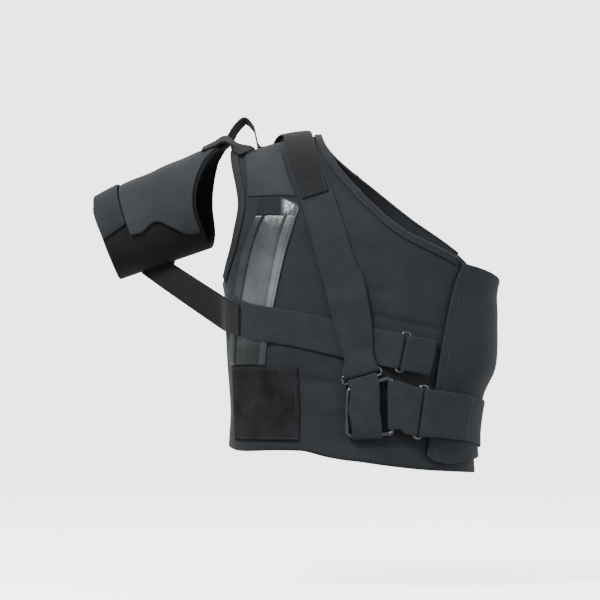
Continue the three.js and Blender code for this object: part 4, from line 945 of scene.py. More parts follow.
# Painted shade: the colour is mixed towards near black below the foot levels and above the head levels, as
# far as the End Painted Shade input says
coated_foot_painted_shade = spread_node(coated_tree, coated_height.outputs["Z"], *FOOT_PAINTED_SHADE_LEVELS, 1, 0)
coated_head_painted_shade = spread_node(coated_tree, coated_height.outputs["Z"], *HEAD_PAINTED_SHADE_LEVELS, 0, 0.8)
coated_painted_shade_ends = number_node(coated_tree, "MAXIMUM", coated_foot_painted_shade, coated_head_painted_shade)
coated_painted_shade = number_node(coated_tree, "MULTIPLY", coated_painted_shade_ends, coated_in.outputs["End Painted Shade"])
coated_tone = colour_between(coated_tree, spread_node(coated_tree, coated_rub, 0.4, 0.75, 0, 1),
                             coated_in.outputs["Colour"], coated_in.outputs["Rubbed Colour"])
link(coated_tree, colour_between(coated_tree, coated_painted_shade, coated_tone, (0.006, 0.008, 0.008, 1)),
     coated_out.inputs["Colour"])
coated_sheen = spread_node(coated_tree, coated_rub, 0.3, 0.7, 0.22, 0.46)
link(coated_tree, coated_sheen, coated_out.inputs["Roughness"])
coated_pores = number_node(coated_tree, "MULTIPLY", coated_grain, 0.06)
link(coated_tree, number_node(coated_tree, "ADD", coated_crease, coated_pores), coated_out.inputs["Height"])

VINYL_GLOSS = 0.3
CREASE_STRENGTH = 0.8


def coated_material(name, colour, rubbed, creased, end_painted_shade):
    values = {"Colour": colour, "Rubbed Colour": rubbed, "End Painted Shade": end_painted_shade}
    return group_material(name, coated_tree, values, (creased, CREASE_STRENGTH), VINYL_GLOSS)


# The last number of each is how strong its painted shade is at the foot and the head
pocket_vinyl = coated_material(
    "pocket_vinyl", (0.036, 0.040, 0.045, 1), (0.075, 0.080, 0.087, 1), 0.0030, 1.0)
pocket_trim = coated_material(
    "pocket_trim_vinyl", (0.010, 0.012, 0.014, 1), (0.026, 0.029, 0.032, 1), 0.0012, 0.6)
pale_trim = coated_material(
    "pale_trim_vinyl", (0.060, 0.064, 0.070, 1), (0.120, 0.126, 0.134, 1), 0.0012, 0.8)
TRIM_FINE = (14, 90)
patch("pocket_window", POCKET_ROWS, "window", "trim", ON_VEST, PANEL_WALL, 0.8, pocket_vinyl,
      "pocket_vinyl")
patch("pocket_trim_outer", POCKET_ROWS, "left", "window", ON_VEST, TRIM_WALL, 1.2, pocket_trim,
      "pocket_trim", TRIM_FINE)
patch("pocket_trim_inner", POCKET_ROWS, "trim", "right", ON_VEST, TRIM_WALL, 0.3, pale_trim,
      "pocket_trim", TRIM_FINE)

# Cap: dark at the left, and glossy where it bends away past these places across, in metres; there its
# colour is lighter too, as a painted highlight
CAP_GLOSS_AND_HIGHLIGHT_SPAN = (0.001, 0.010)
cap_vinyl, cap_nodes, cap_shader, cap_place = new_material("cap_vinyl")
cap_apart = cap_nodes.nodes.new("ShaderNodeSeparateXYZ")
link(cap_nodes, cap_place, cap_apart.inputs[0])
cap_crease = noise_node(cap_nodes, cap_place, 90.0, 3.0)
cap_gloss_and_painted_highlight = spread_node(cap_nodes, cap_apart.outputs["X"], *CAP_GLOSS_AND_HIGHLIGHT_SPAN, 0, 1)
# Painted highlight: the base colour lightens where the cap turns glossy, along with its lower roughness and
# higher specular
link(cap_nodes, colour_between(cap_nodes, cap_gloss_and_painted_highlight, (0.006, 0.007, 0.008, 1), (0.030, 0.033, 0.036, 1)),
     cap_shader.inputs["Base Color"])
link(cap_nodes, spread_node(cap_nodes, cap_gloss_and_painted_highlight, 0, 1, 0.85, 0.28), cap_shader.inputs["Roughness"])
link(cap_nodes, spread_node(cap_nodes, cap_gloss_and_painted_highlight, 0, 1, 0.15, 0.5), cap_shader.inputs["Specular IOR Level"])
raise_surface(cap_nodes, cap_shader, cap_crease, 0.003, CREASE_STRENGTH)
patch("pocket_cap", POCKET_CAP_ROWS, "left", "right", ON_VEST, TRIM_WALL, 1.0, cap_vinyl, "pocket_trim",
      (40, 20))
pocket_heights = np.linspace(0.02, 0.98, SEAM_STEPS)
stitches("pocket_stitches", [
    patch_seam(POCKET_ROWS, "trim", "right", 0.72, pocket_heights, ON_VEST + TRIM_WALL + 0.45),
    patch_seam(POCKET_CAP_ROWS, "left", "right", pocket_heights, 0.12, ON_VEST + TRIM_WALL + 0.9),
    patch_seam(POCKET_CAP_ROWS, "left", "right", pocket_heights, 0.88, ON_VEST + TRIM_WALL + 0.9),
], black_thread, "pocket_trim", Radius=0.0006, Pitch=0.0045)

hook_black, hook_nodes, hook_shader, hook_place = new_material("hook_black")
hook_cells = hook_nodes.nodes.new("ShaderNodeTexVoronoi")
hook_cells.inputs["Scale"].default_value = 620
link(hook_nodes, hook_place, hook_cells.inputs["Vector"])
hook_cloud = noise_node(hook_nodes, hook_place, 30.0, 3.0)
link(hook_nodes, colour_between(hook_nodes, spread_node(hook_nodes, hook_cloud, 0.35, 0.7, 0, 1),
                                (0.0030, 0.0032, 0.0036, 1), (0.0105, 0.011, 0.012, 1)),
     hook_shader.inputs["Base Color"])
link(hook_nodes, spread_node(hook_nodes, hook_cells.outputs["Distance"], 0, 0.6, 0.62, 0.95),
     hook_shader.inputs["Roughness"])
raise_surface(hook_nodes, hook_shader, hook_cells.outputs["Distance"], -0.0012, 0.8)
hook_shader.inputs["Specular IOR Level"].default_value = CLOTH_GLOSS
patch("hook_patch", HOOK_PATCH_ROWS, "left", "right", ON_TAPE, PATCH_WALL, 0.1, hook_black, "hook_cloth",
      (80, 80))
patch_share = np.linspace(PATCH_SEAM_IN, 1 - PATCH_SEAM_IN, SEAM_STEPS)
stitches("hook_patch_stitches", [
    patch_seam(HOOK_PATCH_ROWS, "left", "right", across, height, ON_TAPE + PATCH_WALL - 0.1)
    for across, height in ((patch_share, PATCH_SEAM_IN), (patch_share, 1 - PATCH_SEAM_IN),
                           (PATCH_SEAM_IN, patch_share), (1 - PATCH_SEAM_IN, patch_share))
], slot="hook_cloth")

# Rings
# Rectangles of black-coated steel wire with round corners lie flat on the vest, each held by a strap
# end and by a loop sewn to the front. The centre ring, of thicker wire, is a skewed frame.
WEBBING = 2.2
STRAP_WIDTH = 48.0
WAIST_STRAP_WIDTH = 66.0
RING_WIRE = 4.0
RING_SLOT = 7.0
RING_CLEARANCE = 1.5
CENTRE_RING_BAR = 6.0
CENTRE_RING_DROP = 41.0
LINK_WIDTH = 41.0
FLAT_PLAY = 1.0
CORNER_SHARE = 2.2
LOW_LEG = ON_VEST + WEBBING / 2
WIRE_TURN = RING_WIRE / 2 + SEAT_GAP + WEBBING / 2
BAR_TURN = CENTRE_RING_BAR / 2 + SEAT_GAP + WEBBING / 2
RING_LIFT = LOW_LEG + WIRE_TURN + FLAT_PLAY
CENTRE_LIFT = LOW_LEG + BAR_TURN + FLAT_PLAY
ON_FLAP = FLAP_FACE + SEAT_GAP
WAIST_LEG = ON_FLAP + WEBBING / 2 + 1.3
WAIST_LIFT = WAIST_LEG + WIRE_TURN
BAR_OFFSET = (RING_SLOT + RING_WIRE) / 2
CENTRE_RING_CORNERS = ((-31, 21), (30, 39), (31, -39), (-32, -42))


def seat_of(across, up, lean, lift):
    """A flat place on the skin: its origin, along the strap, across the strap, and outwards."""
    turn, climb = placed(across, up)
    out = slopes(turn, climb)[2]
    run = np.array([math.cos(lean), 0, math.sin(lean)])
    run = unit(run - (run @ out) * out)
    return {"origin": lay(turn, climb, lift), "run": run, "cross": np.cross(out, run), "out": out}


def in_seat(seat, run, cross, out):
    run, cross, out = (np.asarray(value)[..., None] for value in (run, cross, out))
    return seat["origin"] + run * seat["run"] + cross * seat["cross"] + out * seat["out"]


def turned(seat, angle):
    run, cross = seat["run"], seat["cross"]
    return {**seat, "run": run * math.cos(angle) + cross * math.sin(angle),
            "cross": cross * math.cos(angle) - run * math.sin(angle)}


SHOULDER_RING_UP = -0.699
shoulder_seat = seat_of(0.019, SHOULDER_RING_UP, math.radians(-74.5), RING_LIFT)
arm_seat = seat_of(0.320, -0.628, math.radians(-12), RING_LIFT)
waist_seat = seat_of(0.434, -0.808, math.radians(-8), WAIST_LIFT)
centre_seat = seat_of(0.081, SHOULDER_RING_UP - CENTRE_RING_DROP / VEST_HEIGHT, 0.0, CENTRE_LIFT)


def wire_ring_tree():
    tree, given, line, surface = geometry_tree(
        "wire_ring", {"Wire Radius": 0.002, "Corner Radius": 0.004}, "Coating")
    nodes = tree.nodes
    round_off = nodes.new("GeometryNodeFilletCurve")
    round_off.mode = "POLY"
    round_off.inputs["Count"].default_value = 10
    wire = nodes.new("GeometryNodeCurvePrimitiveCircle")
    wire.inputs["Resolution"].default_value = 20
    skin_over = nodes.new("GeometryNodeCurveToMesh")
    for source, target in (
            (line, round_off.inputs["Curve"]), (given.outputs["Corner Radius"], round_off.inputs["Radius"]),
            (given.outputs["Wire Radius"], wire.inputs["Radius"]),
            (round_off.outputs["Curve"], skin_over.inputs["Curve"]),
            (wire.outputs["Curve"], skin_over.inputs["Profile Curve"]),
            (skin_over.outputs["Mesh"], surface)):
        link(tree, source, target)
    return tree


ring_tree = wire_ring_tree()
ring_black, ring_nodes, ring_shader, ring_place = new_material("ring_black_coating")
ring_scuff = noise_node(ring_nodes, ring_place, 420.0, 4.0, (1.0, 1.0, 0.2))
ring_haze = noise_node(ring_nodes, ring_place, 55.0, 3.0)
link(ring_nodes, colour_between(ring_nodes, spread_node(ring_nodes, ring_scuff, 0.62, 0.72, 0, 1),
                                (0.004, 0.0045, 0.005, 1), (0.06, 0.06, 0.063, 1)),
     ring_shader.inputs["Base Color"])
link(ring_nodes, spread_node(ring_nodes, ring_haze, 0.3, 0.7, 0.14, 0.30), ring_shader.inputs["Roughness"])
raise_surface(ring_nodes, ring_shader, ring_scuff, 0.00015, 0.4)
ring_shader.inputs["Coat Weight"].default_value = 0.25
ring_shader.inputs["Coat Roughness"].default_value = 0.08


def ring(name, seat, corners, wire, node):
    run, cross = np.array(corners, float).T
    mesh = made_by_tree(name, [in_seat(seat, run, cross, 0 * run)], True, ring_tree, {
        "Wire Radius": wire / 2 * MM, "Corner Radius": wire * CORNER_SHARE / 2 * MM, "Coating": ring_black})
    piece(mesh, None, "ring_metal", node)


def slide_corners(width):
    half = width / 2 + RING_CLEARANCE + RING_WIRE / 2
    return ((-BAR_OFFSET, half), (BAR_OFFSET, half), (BAR_OFFSET, -half), (-BAR_OFFSET, -half))


ring("shoulder_ring_wire", shoulder_seat, slide_corners(STRAP_WIDTH), RING_WIRE, "shoulder_strap_ring")
ring("arm_ring_wire", arm_seat, slide_corners(STRAP_WIDTH), RING_WIRE, "arm_strap_ring")
ring("waist_ring_wire", waist_seat, slide_corners(WAIST_STRAP_WIDTH), RING_WIRE, "waist_strap_ring")
ring("centre_ring_wire", centre_seat, CENTRE_RING_CORNERS, CENTRE_RING_BAR, "centre_ring")

# Straps
# Loop-faced webbing, 2.2 mm thick, is turned round a ring's bar and pressed back on itself. The arm
# strap crosses the chest below the shoulder strap, and the waist strap goes round the left flank.
SHOULDER_STRAP_TOP_WIDTH = 36.0
TAB_WIDTH = 38.0
SETTLE = 34.0
FOLD_RETURN = 2.0
FLAT_REACH = 9.0
FLAT_FADE = 26.0
TURN_STOPS = 16
SELVEDGE = 1 - 0.9 * 0.6
WEBBING_BULGE = 0.4
OVER_POCKET = ON_VEST + TRIM_WALL + SEAT_GAP + WEBBING / 2 + 0.7
OVER_RIDGE = LOW_LEG + 0.4
CROSSING = LOW_LEG + WEBBING + SEAT_GAP + 0.8
DOUBLED = LOW_LEG + WEBBING + SEAT_GAP
SHOULDER_COURSE = ((-0.62, -0.170, BEHIND), (-0.53, -0.040, BEHIND), (-0.465, 0.300, BEFORE),
                   (-0.415, -0.060, BEFORE), (-0.335, -0.150, BEFORE), (-0.155, -0.396, BEFORE),
                   (0.019, -0.699, BEFORE))
TAB_COURSE = ((-0.66, -0.215, BEHIND), (-0.57, -0.055, BEHIND), (-0.468, 0.300, BEFORE),
              (-0.415, -0.060, BEFORE), (-0.327, -0.165, BEFORE))
ARM_COURSE = ((-0.925, -0.505, BEFORE), (-0.85, -0.527, BEFORE), (-0.440, -0.561, BEFORE),
              (-0.098, -0.593, BEFORE), (0.320, -0.628, BEFORE))
ARM_TAB_COURSE = ((0.320, -0.628, BEFORE), (0.545, -0.645, BEFORE))
WAIST_COURSE = ((0.434, -0.808, BEFORE), (0.80, -0.832, BEFORE), (1.30, -0.850, BEFORE),
                (0.72, -0.850, BEHIND), (0.30, -0.840, BEHIND))
CURVE_STEPS = 80
RUN_STEP = 0.5
BOX_INSET = 3.0
PATH_PITCH = 3.0


def smooth_line(stops):
    """Points of a curve through stops, with its knots set by the square roots of their distances."""
    stops = np.array(stops, float)
    ends = [2 * stops[0] - stops[1], *stops, 2 * stops[-1] - stops[-2]]
    t = np.linspace(0, 1, CURVE_STEPS, endpoint=False)[:, None]
    points = []
    for a, b, c, d in zip(ends, ends[1:], ends[2:], ends[3:]):
        ab, bc, cd = (max(np.linalg.norm(q - p) ** 0.5, 1e-4) for p, q in ((a, b), (b, c), (c, d)))
        start = ((b - a) / ab - (c - a) / (ab + bc) + (c - b) / bc) * bc
        end = ((c - b) / bc - (d - b) / (bc + cd) + (d - c) / cd) * bc
        points.append(hermite(t, b, start, c, end))
    return np.concatenate([*points, stops[-1:]])


def spot_near(points):
    """The turn and climb of the skin below points near it."""
    x, y, z = points[..., 0] / HALF_CHEST, points[..., 1], points[..., 2]
    level = np.minimum(z, 0)
    depth = HALF_DEPTH * np.where(y < 0, section_at(level, "front"), section_at(level, "back"))
    girth = np.maximum(1 - np.minimum(np.abs(x / section_at(level, "width")), 1) ** BODY_ROUNDNESS, 1e-4)
    high = (z + DOME_HEIGHT) / (ridge_at(points[..., 0]) + DOME_HEIGHT)
    swing = np.arctan2(high, np.abs(y) / (depth * girth ** (1 / BODY_ROUNDNESS)))
    dome_level = DOME_HEIGHT * (np.sin(swing) - 1)
    near = (x - section_at(dome_level, "shift")) / section_at(dome_level, "width")
    dome_turn = np.arcsin(powered(np.clip(near, -1, 1), BODY_ROUNDNESS / 2))
    dome_turn = np.where(y < 0, dome_turn, math.pi - dome_turn)
    out = -y / depth
    side = (x - section_at(level, "shift")) / section_at(level, "width")
    low_turn = np.arctan2(powered(side, BODY_ROUNDNESS / 2), powered(out, BODY_ROUNDNESS / 2))
    dome = z > -DOME_HEIGHT
    return np.where(dome, dome_turn, low_turn), np.where(dome, swing * DOME_HEIGHT, z + DOME_HEIGHT)


def track(points, *seats):
    """A line over the skin, by its length, with the flat seats along it."""
    reach = length_along(points)
    length = reach[-1]
    return {"points": points, "reach": reach, "length": length, "fade": FLAT_FADE,
            "seats": [(seat, length if at == "end" else 0.0, base) for seat, at, base in seats]}


def course_track(course, *seats):
    across, up, side = (np.array(column) for column in zip(*course))
    return track(smooth_line(skin(*placed(across, up, side))), *seats)


def points_at(places, reach, points):
    return np.stack([np.interp(places, reach, points[:, k]) for k in range(3)], -1)


def on_line(line, s):
    inside = np.clip(s, 0, line["length"])
    near = np.clip(inside, RUN_STEP, line["length"] - RUN_STEP)
    run = unit(points_at(near + RUN_STEP, line["reach"], line["points"])
               - points_at(near - RUN_STEP, line["reach"], line["points"]))
    return points_at(inside, line["reach"], line["points"]) + run * (s - inside)[..., None], run


def on_track(line, s, cross, lift):
    point, run = on_line(line, s)
    turn, climb = spot_near(point)
    out = slopes(turn, climb)[2]
    run = unit(run - dot(run, out) * out)
    sideways = np.cross(out, run)
    spot = shifted(turn, climb, sideways * cross[..., None])
    result = lay(*spot, lift)
    for seat, at, base in line["seats"]:
        weight = 1 - smooth((np.abs(s - at) - FLAT_REACH) / (line["fade"] - FLAT_REACH))
        result = mix(result, in_seat(seat, s - at, cross, lift - base), weight[..., None])
    return result


def half_turn(s, lift, radius, way, from_top):
    angle = np.linspace(0, math.pi, TURN_STOPS + 1)
    rise = radius if from_top else -radius
    return np.stack([s + way * radius * np.sin(angle), lift + rise * np.cos(angle)], 1)


def between(start, end):
    steps = max(int(abs(end[0] - start[0]) / PATH_PITCH), 3)
    t = np.linspace(0, 1, steps + 1)
    return np.stack([mix(start[0], end[0], t), mix(start[1], end[1], smooth(t))], 1)


def strap(name, line, path, width, material, slot, loop=False):
    """Webbing drawn by its path of places along the track and lifts, with thinner selvedges."""
    if loop:
        step = np.roll(path, -1, axis=0) - np.roll(path, 1, axis=0)
    else:
        step = np.gradient(path, axis=0)
    step = unit(step)
    normal = np.stack([-step[:, 1], step[:, 0]], 1)
    across = np.concatenate([[0, 0.012, 0.03, 0.06], np.linspace(0.1, 0.9, 13), [0.94, 0.97, 0.988, 1]])
    thin = smooth(np.minimum(across, 1 - across) / 0.05)
    half = WEBBING / 2 * mix(SELVEDGE, 1.0, thin)
    cross = (across[None, :] - 0.5) * np.broadcast_to(width, len(path))[:, None]
    s, lift = path[:, :1], path[:, 1:]
    outer, inner = (
        on_track(line, s + normal[:, :1] * half * way, cross, lift + normal[:, 1:] * half * way)
        for way in (1, -1))
    uv = np.stack(np.broadcast_arrays(length_along(path)[:, None], cross), -1)
    piece(cloth_mesh(name + "_webbing", outer, inner, uv, loop, WEBBING_BULGE), material, slot, name)


def strap_seam(line, lift, s, cross):
    s, cross = np.broadcast_arrays(np.asarray(s, float), np.asarray(cross, float))
    return on_track(line, s, cross, np.full(s.shape, lift))


def sewn_box(line, face, end, reach, width):
    """The four sides of a box of stitches at a strap's end."""
    lift, start, end, half = face + THREAD_LIFT, end - reach, end - BOX_INSET, width / 2 - BOX_INSET
    t = np.linspace(0, 1, 40)
    along, across = mix(start, end, t), mix(-half, half, t)
    return [strap_seam(line, lift, s, cross)
            for s, cross in ((along, half), (along, -half), (start, across), (end, across))]


webbing = rib_material(
    "loop_webbing", (0.0056, 0.0065, 0.0074, 1), (0.0168, 0.0190, 0.0212, 1), 0.0016, 0.0020, 0.0005)
dark_webbing = rib_material(
    "dark_webbing", (0.0022, 0.0024, 0.0026, 1), (0.0072, 0.0078, 0.0084, 1), 0.0014, 0.0018, 0.0004)

arm_line = course_track(ARM_COURSE, (arm_seat, "end", RING_LIFT))
arm_bar = arm_line["length"] - BAR_OFFSET
POCKET_PASSED = 62
POCKET_CLEARED = 88
arm_path = np.concatenate([
    between((0, OVER_POCKET), (POCKET_PASSED, OVER_POCKET)),
    between((POCKET_PASSED, OVER_POCKET), (POCKET_CLEARED, LOW_LEG))[1:],
    between((POCKET_CLEARED, LOW_LEG), (arm_bar - SETTLE, LOW_LEG))[1:],
    between((arm_bar - SETTLE, LOW_LEG), (arm_bar, RING_LIFT + WIRE_TURN))[1:-1],
    half_turn(arm_bar, RING_LIFT, WIRE_TURN, 1, True),
    [(arm_bar - FOLD_RETURN, RING_LIFT - WIRE_TURN)],
])
strap("arm_strap", arm_line, arm_path, STRAP_WIDTH, webbing, "webbing")

arm_tab_line = course_track(ARM_TAB_COURSE, (arm_seat, "start", RING_LIFT))
arm_tab_end = arm_tab_line["length"]
arm_tab_path = np.concatenate([
    between((arm_tab_end, LOW_LEG), (BAR_OFFSET, RING_LIFT - WIRE_TURN))[:-1],
    half_turn(BAR_OFFSET, RING_LIFT, WIRE_TURN, -1, False),
    between((BAR_OFFSET, RING_LIFT + WIRE_TURN), (arm_tab_end, DOUBLED))[1:],
])
strap("arm_ring_tab", arm_tab_line, arm_tab_path, STRAP_WIDTH, webbing, "webbing")
stitches("arm_ring_tab_stitches",
         sewn_box(arm_tab_line, DOUBLED + WEBBING / 2, arm_tab_end, 24, STRAP_WIDTH), slot="webbing")

shoulder_line = course_track(SHOULDER_COURSE, (shoulder_seat, "end", RING_LIFT))
shoulder_bar = shoulder_line["length"] - BAR_OFFSET
CROSSING_LENGTH = 95
WIDENED_AT = 0.8
crossing_start = shoulder_bar - CROSSING_LENGTH
rise_start = crossing_start - 30
shoulder_path = np.concatenate([
    between((0, OVER_RIDGE), (rise_start, OVER_RIDGE)),
    between((rise_start, OVER_RIDGE), (crossing_start, CROSSING))[1:],
    between((crossing_start, CROSSING), (shoulder_bar - SETTLE, CROSSING))[1:],
    between((shoulder_bar - SETTLE, CROSSING), (shoulder_bar, RING_LIFT + WIRE_TURN))[1:-1],
    half_turn(shoulder_bar, RING_LIFT, WIRE_TURN, 1, True),
    [(shoulder_bar - FOLD_RETURN, RING_LIFT - WIRE_TURN)],
])
widened = smooth(shoulder_path[:, 0] / (shoulder_line["length"] * WIDENED_AT))
shoulder_width = mix(SHOULDER_STRAP_TOP_WIDTH, STRAP_WIDTH, widened)
strap("shoulder_strap", shoulder_line, shoulder_path, shoulder_width, webbing, "webbing")

tab_line = course_track(TAB_COURSE)
TAB_LIFT = OVER_RIDGE + WEBBING + SEAT_GAP
TAB_HUMP = 5.0
tab_share = np.linspace(0, 1, 90)
tab_path = np.stack([tab_share * tab_line["length"],
                     TAB_LIFT + TAB_HUMP * smooth(1 - np.abs(tab_share - 0.42) / 0.3)], 1)
strap("shoulder_tab", tab_line, tab_path, TAB_WIDTH, dark_webbing, "dark_webbing")
stitches("shoulder_tab_stitches",
         sewn_box(tab_line, TAB_LIFT + WEBBING / 2, tab_line["length"], 20, TAB_WIDTH), slot="dark_webbing")

BELT_FADE = 0.7
LINK_ASIDE = 4.0
LINK_CROWN = 3.5


def belt(near_bar, near_radius, near_lift, far_bar, far_radius, far_lift, crown):
    """A webbing loop round two bars; crown lifts its outer run off what lies between."""
    outer = between((near_bar, near_lift + near_radius), (far_bar, far_lift + far_radius))[1:-1]
    inner = between((far_bar, far_lift - far_radius), (near_bar, near_lift - near_radius))[1:-1]
    bow = np.sin(np.linspace(0, math.pi, len(outer) + 2)[1:-1]) ** 0.5
    outer[:, 1] += crown * bow
    inner[:, 1] -= crown / 4 * bow
    return np.concatenate([half_turn(near_bar, near_lift, near_radius, -1, False), outer,
                           half_turn(far_bar, far_lift, far_radius, 1, True), inner])


def line_between(first, last, first_base, last_base):
    ends = [skin(*spot_near(seat["origin"])) for seat in (first, last)]
    line = track(smooth_line(ends), (first, "start", first_base), (last, "end", last_base))
    return {**line, "fade": line["length"] * BELT_FADE}


_, head_right, foot_right, foot_left = CENTRE_RING_CORNERS
foot_lean = math.atan2(foot_right[1] - foot_left[1], foot_right[0] - foot_left[0])
foot_middle = ((foot_right[0] + foot_left[0]) / 2 - LINK_ASIDE, (foot_right[1] + foot_left[1]) / 2)
foot_seat = {"origin": in_seat(centre_seat, *foot_middle, 0.0),
             "run": -centre_seat["cross"], "cross": centre_seat["run"], "out": centre_seat["out"]}
foot_seat = turned(foot_seat, foot_lean)
link_line = line_between(shoulder_seat, foot_seat, RING_LIFT, CENTRE_LIFT)
link_path = belt(BAR_OFFSET, WIRE_TURN, RING_LIFT, link_line["length"], BAR_TURN, CENTRE_LIFT, LINK_CROWN)
strap("link_belt", link_line, link_path, LINK_WIDTH, webbing, "webbing", loop=True)
side_lean = -math.atan2(head_right[0] - foot_right[0], head_right[1] - foot_right[1])
side_seat = turned({**centre_seat, "origin": in_seat(
    centre_seat, (head_right[0] + foot_right[0]) / 2, (head_right[1] + foot_right[1]) / 2, 0.0)}, side_lean)
belt_line = line_between(side_seat, waist_seat, CENTRE_LIFT, WAIST_LIFT)
belt_path = belt(0, BAR_TURN, CENTRE_LIFT, belt_line["length"] - BAR_OFFSET, WIRE_TURN, WAIST_LIFT, 0.0)
strap("waist_ring_belt", belt_line, belt_path, WAIST_STRAP_WIDTH, webbing, "webbing", loop=True)

waist_line = course_track(WAIST_COURSE, (waist_seat, "start", WAIST_LIFT))
WAIST_RETURN = 72.0
waist_path = np.concatenate([
    between((WAIST_RETURN, WAIST_LEG + WEBBING + SEAT_GAP), (BAR_OFFSET, WAIST_LIFT + WIRE_TURN))[:-1],
    half_turn(BAR_OFFSET, WAIST_LIFT, WIRE_TURN, -1, True),
    between((BAR_OFFSET, WAIST_LEG), (waist_line["length"], WAIST_LEG))[1:],
])
strap("waist_strap", waist_line, waist_path, WAIST_STRAP_WIDTH, webbing, "webbing")
waist_face = WAIST_LEG + WEBBING * 1.5 + SEAT_GAP
stitches("waist_strap_stitches",
         sewn_box(waist_line, waist_face, WAIST_RETURN, 24, WAIST_STRAP_WIDTH), slot="webbing")

# Arm cuff
# A sleeve of black loop-backed foam is wrapped round the upper arm. A grey flap laps over its front,
# a band closes it above the elbow, and a black strap under the arm holds it to the vest.
ARM_DROP = math.radians(21)
ARM_BACK = math.radians(8)
CUFF_BORE_UPPER = 62.0
CUFF_BORE_LOWER = 55.0
CUFF_LENGTH = 188.0
CUFF_WALL = 4.0
CUFF_FLAP_WALL = 2.5
CUFF_BAND_WALL = 3.5
CUFF_BAND_WIDTH = 37.0
CUFF_GAP = 1.1
ON_CUFF = CUFF_WALL + CUFF_GAP
CUFF_ENDS = {
    "turn": (0, 20, 45, 90, 135, 180, 225, 270, 315, 340, 360),
    "upper": (-0.13, -0.07, 0.06, 0.215, 0.25, 0.28, 0.25, 0.20, 0.05, -0.07, -0.13),
    "lower": (0.950, 0.960, 0.975, 0.965, 0.975, 1.0, 1.0, 0.990, 0.965, 0.955, 0.950),
}
CUFF_FLAP_EDGE = {
    "along": (0.0, 0.15, 0.28, 0.40, 0.48, 0.56, 0.63, 0.72),
    "turn": (128, 124, 109, 97, 95, 98, 101, 100),
}
CUFF_FLAP_BACK = -130.0
CUFF_FLAP_INSET = 4.0
CUFF_FLAP_FOOT = 0.75
BAND_START = 0.765
BAND_BACK = -110.0
BAND_FRONT = 84.0
BAND_SLANT = 8.0
BAND_FLARE = 3.0
CUFF_FOLDS = 1.1

cuff_centre = np.array([-0.976 * HALF_CHEST, 5.0, -0.144 * VEST_HEIGHT])
arm_run = np.array([-math.cos(ARM_DROP) * math.cos(ARM_BACK), math.sin(ARM_BACK),
                    -math.sin(ARM_DROP) * math.cos(ARM_BACK)])
arm_front = unit(np.cross((0, 0, 1), arm_run))
arm_top = np.cross(arm_run, arm_front)


def on_cuff(turn, s, lift):
    turn = np.radians(np.asarray(turn, float))[..., None]
    s = np.asarray(s, float)[..., None]
    radius = mix(CUFF_BORE_UPPER, CUFF_BORE_LOWER, s / CUFF_LENGTH) + np.asarray(lift, float)[..., None]
    return cuff_centre + arm_run * s + arm_top * radius * np.cos(turn) + arm_front * radius * np.sin(turn)


def cuff_end(turn, end):
    return read(CUFF_ENDS, "turn", end, np.mod(turn + 720, 360)) * CUFF_LENGTH


def cuff_ease(turn, s):
    """Soft ridges round the arm, deepest at mid-length, which leave the ends lying flat."""
    share = np.clip(s / CUFF_LENGTH, 0, 1)
    rings = np.sin(share * 21 + np.sin(np.radians(turn)) * 1.4) * np.sin(np.radians(turn) * 1.5 + share * 3)
    return CUFF_FOLDS * (0.5 + 0.5 * rings) * smooth(share * 5) * smooth((1 - share) * 5)


sleeve_around, sleeve_along = np.meshgrid(
    np.linspace(0, 360, 145)[:-1], np.linspace(0, 1, 61), indexing="ij")
sleeve_s = mix(cuff_end(sleeve_around, "upper"), cuff_end(sleeve_around, "lower"), sleeve_along)
sleeve_outer = on_cuff(sleeve_around, sleeve_s, CUFF_WALL)
sleeve_inner = on_cuff(sleeve_around, sleeve_s, 0 * sleeve_s)
sleeve_knit = nap_material(
    "sleeve_knit", (0.0020, 0.0022, 0.0024, 1), (0.0062, 0.0068, 0.0074, 1), 1100.0, 0.03)
cloth("cuff_sleeve", sleeve_outer, sleeve_inner, sleeve_knit, "hook_cloth", loop=True)


def cuff_flap_spot(around, along):
    end = read(CUFF_FLAP_EDGE, "along", "turn", CUFF_FLAP_FOOT * along)
    turn = mix(CUFF_FLAP_BACK, end, around)
    return turn, mix(cuff_end(turn, "upper") + CUFF_FLAP_INSET, CUFF_FLAP_FOOT * CUFF_LENGTH, along)


cuff_flap_turn, cuff_flap_s = cuff_flap_spot(*grid(130, 70))
cuff_flap_lift = ON_CUFF + cuff_ease(cuff_flap_turn, cuff_flap_s)
cuff_flap_outer = on_cuff(cuff_flap_turn, cuff_flap_s, cuff_flap_lift + CUFF_FLAP_WALL)
cuff_flap_inner = on_cuff(cuff_flap_turn, cuff_flap_s, cuff_flap_lift - 0.4)
cloth("cuff_flap", cuff_flap_outer, cuff_flap_inner, panel_cloth, "panel_cloth")


def band_spot(around, along):
    """The turn, the place along the arm and the lift of the band, whose upper edge stands off the arm."""
    flare = BAND_FLARE * (1 - along) * smooth(2 - 4 * np.abs(around - 0.5))
    return (mix(BAND_BACK, BAND_FRONT + BAND_SLANT * along, around),
            BAND_START * CUFF_LENGTH + along * CUFF_BAND_WIDTH, ON_CUFF + flare)


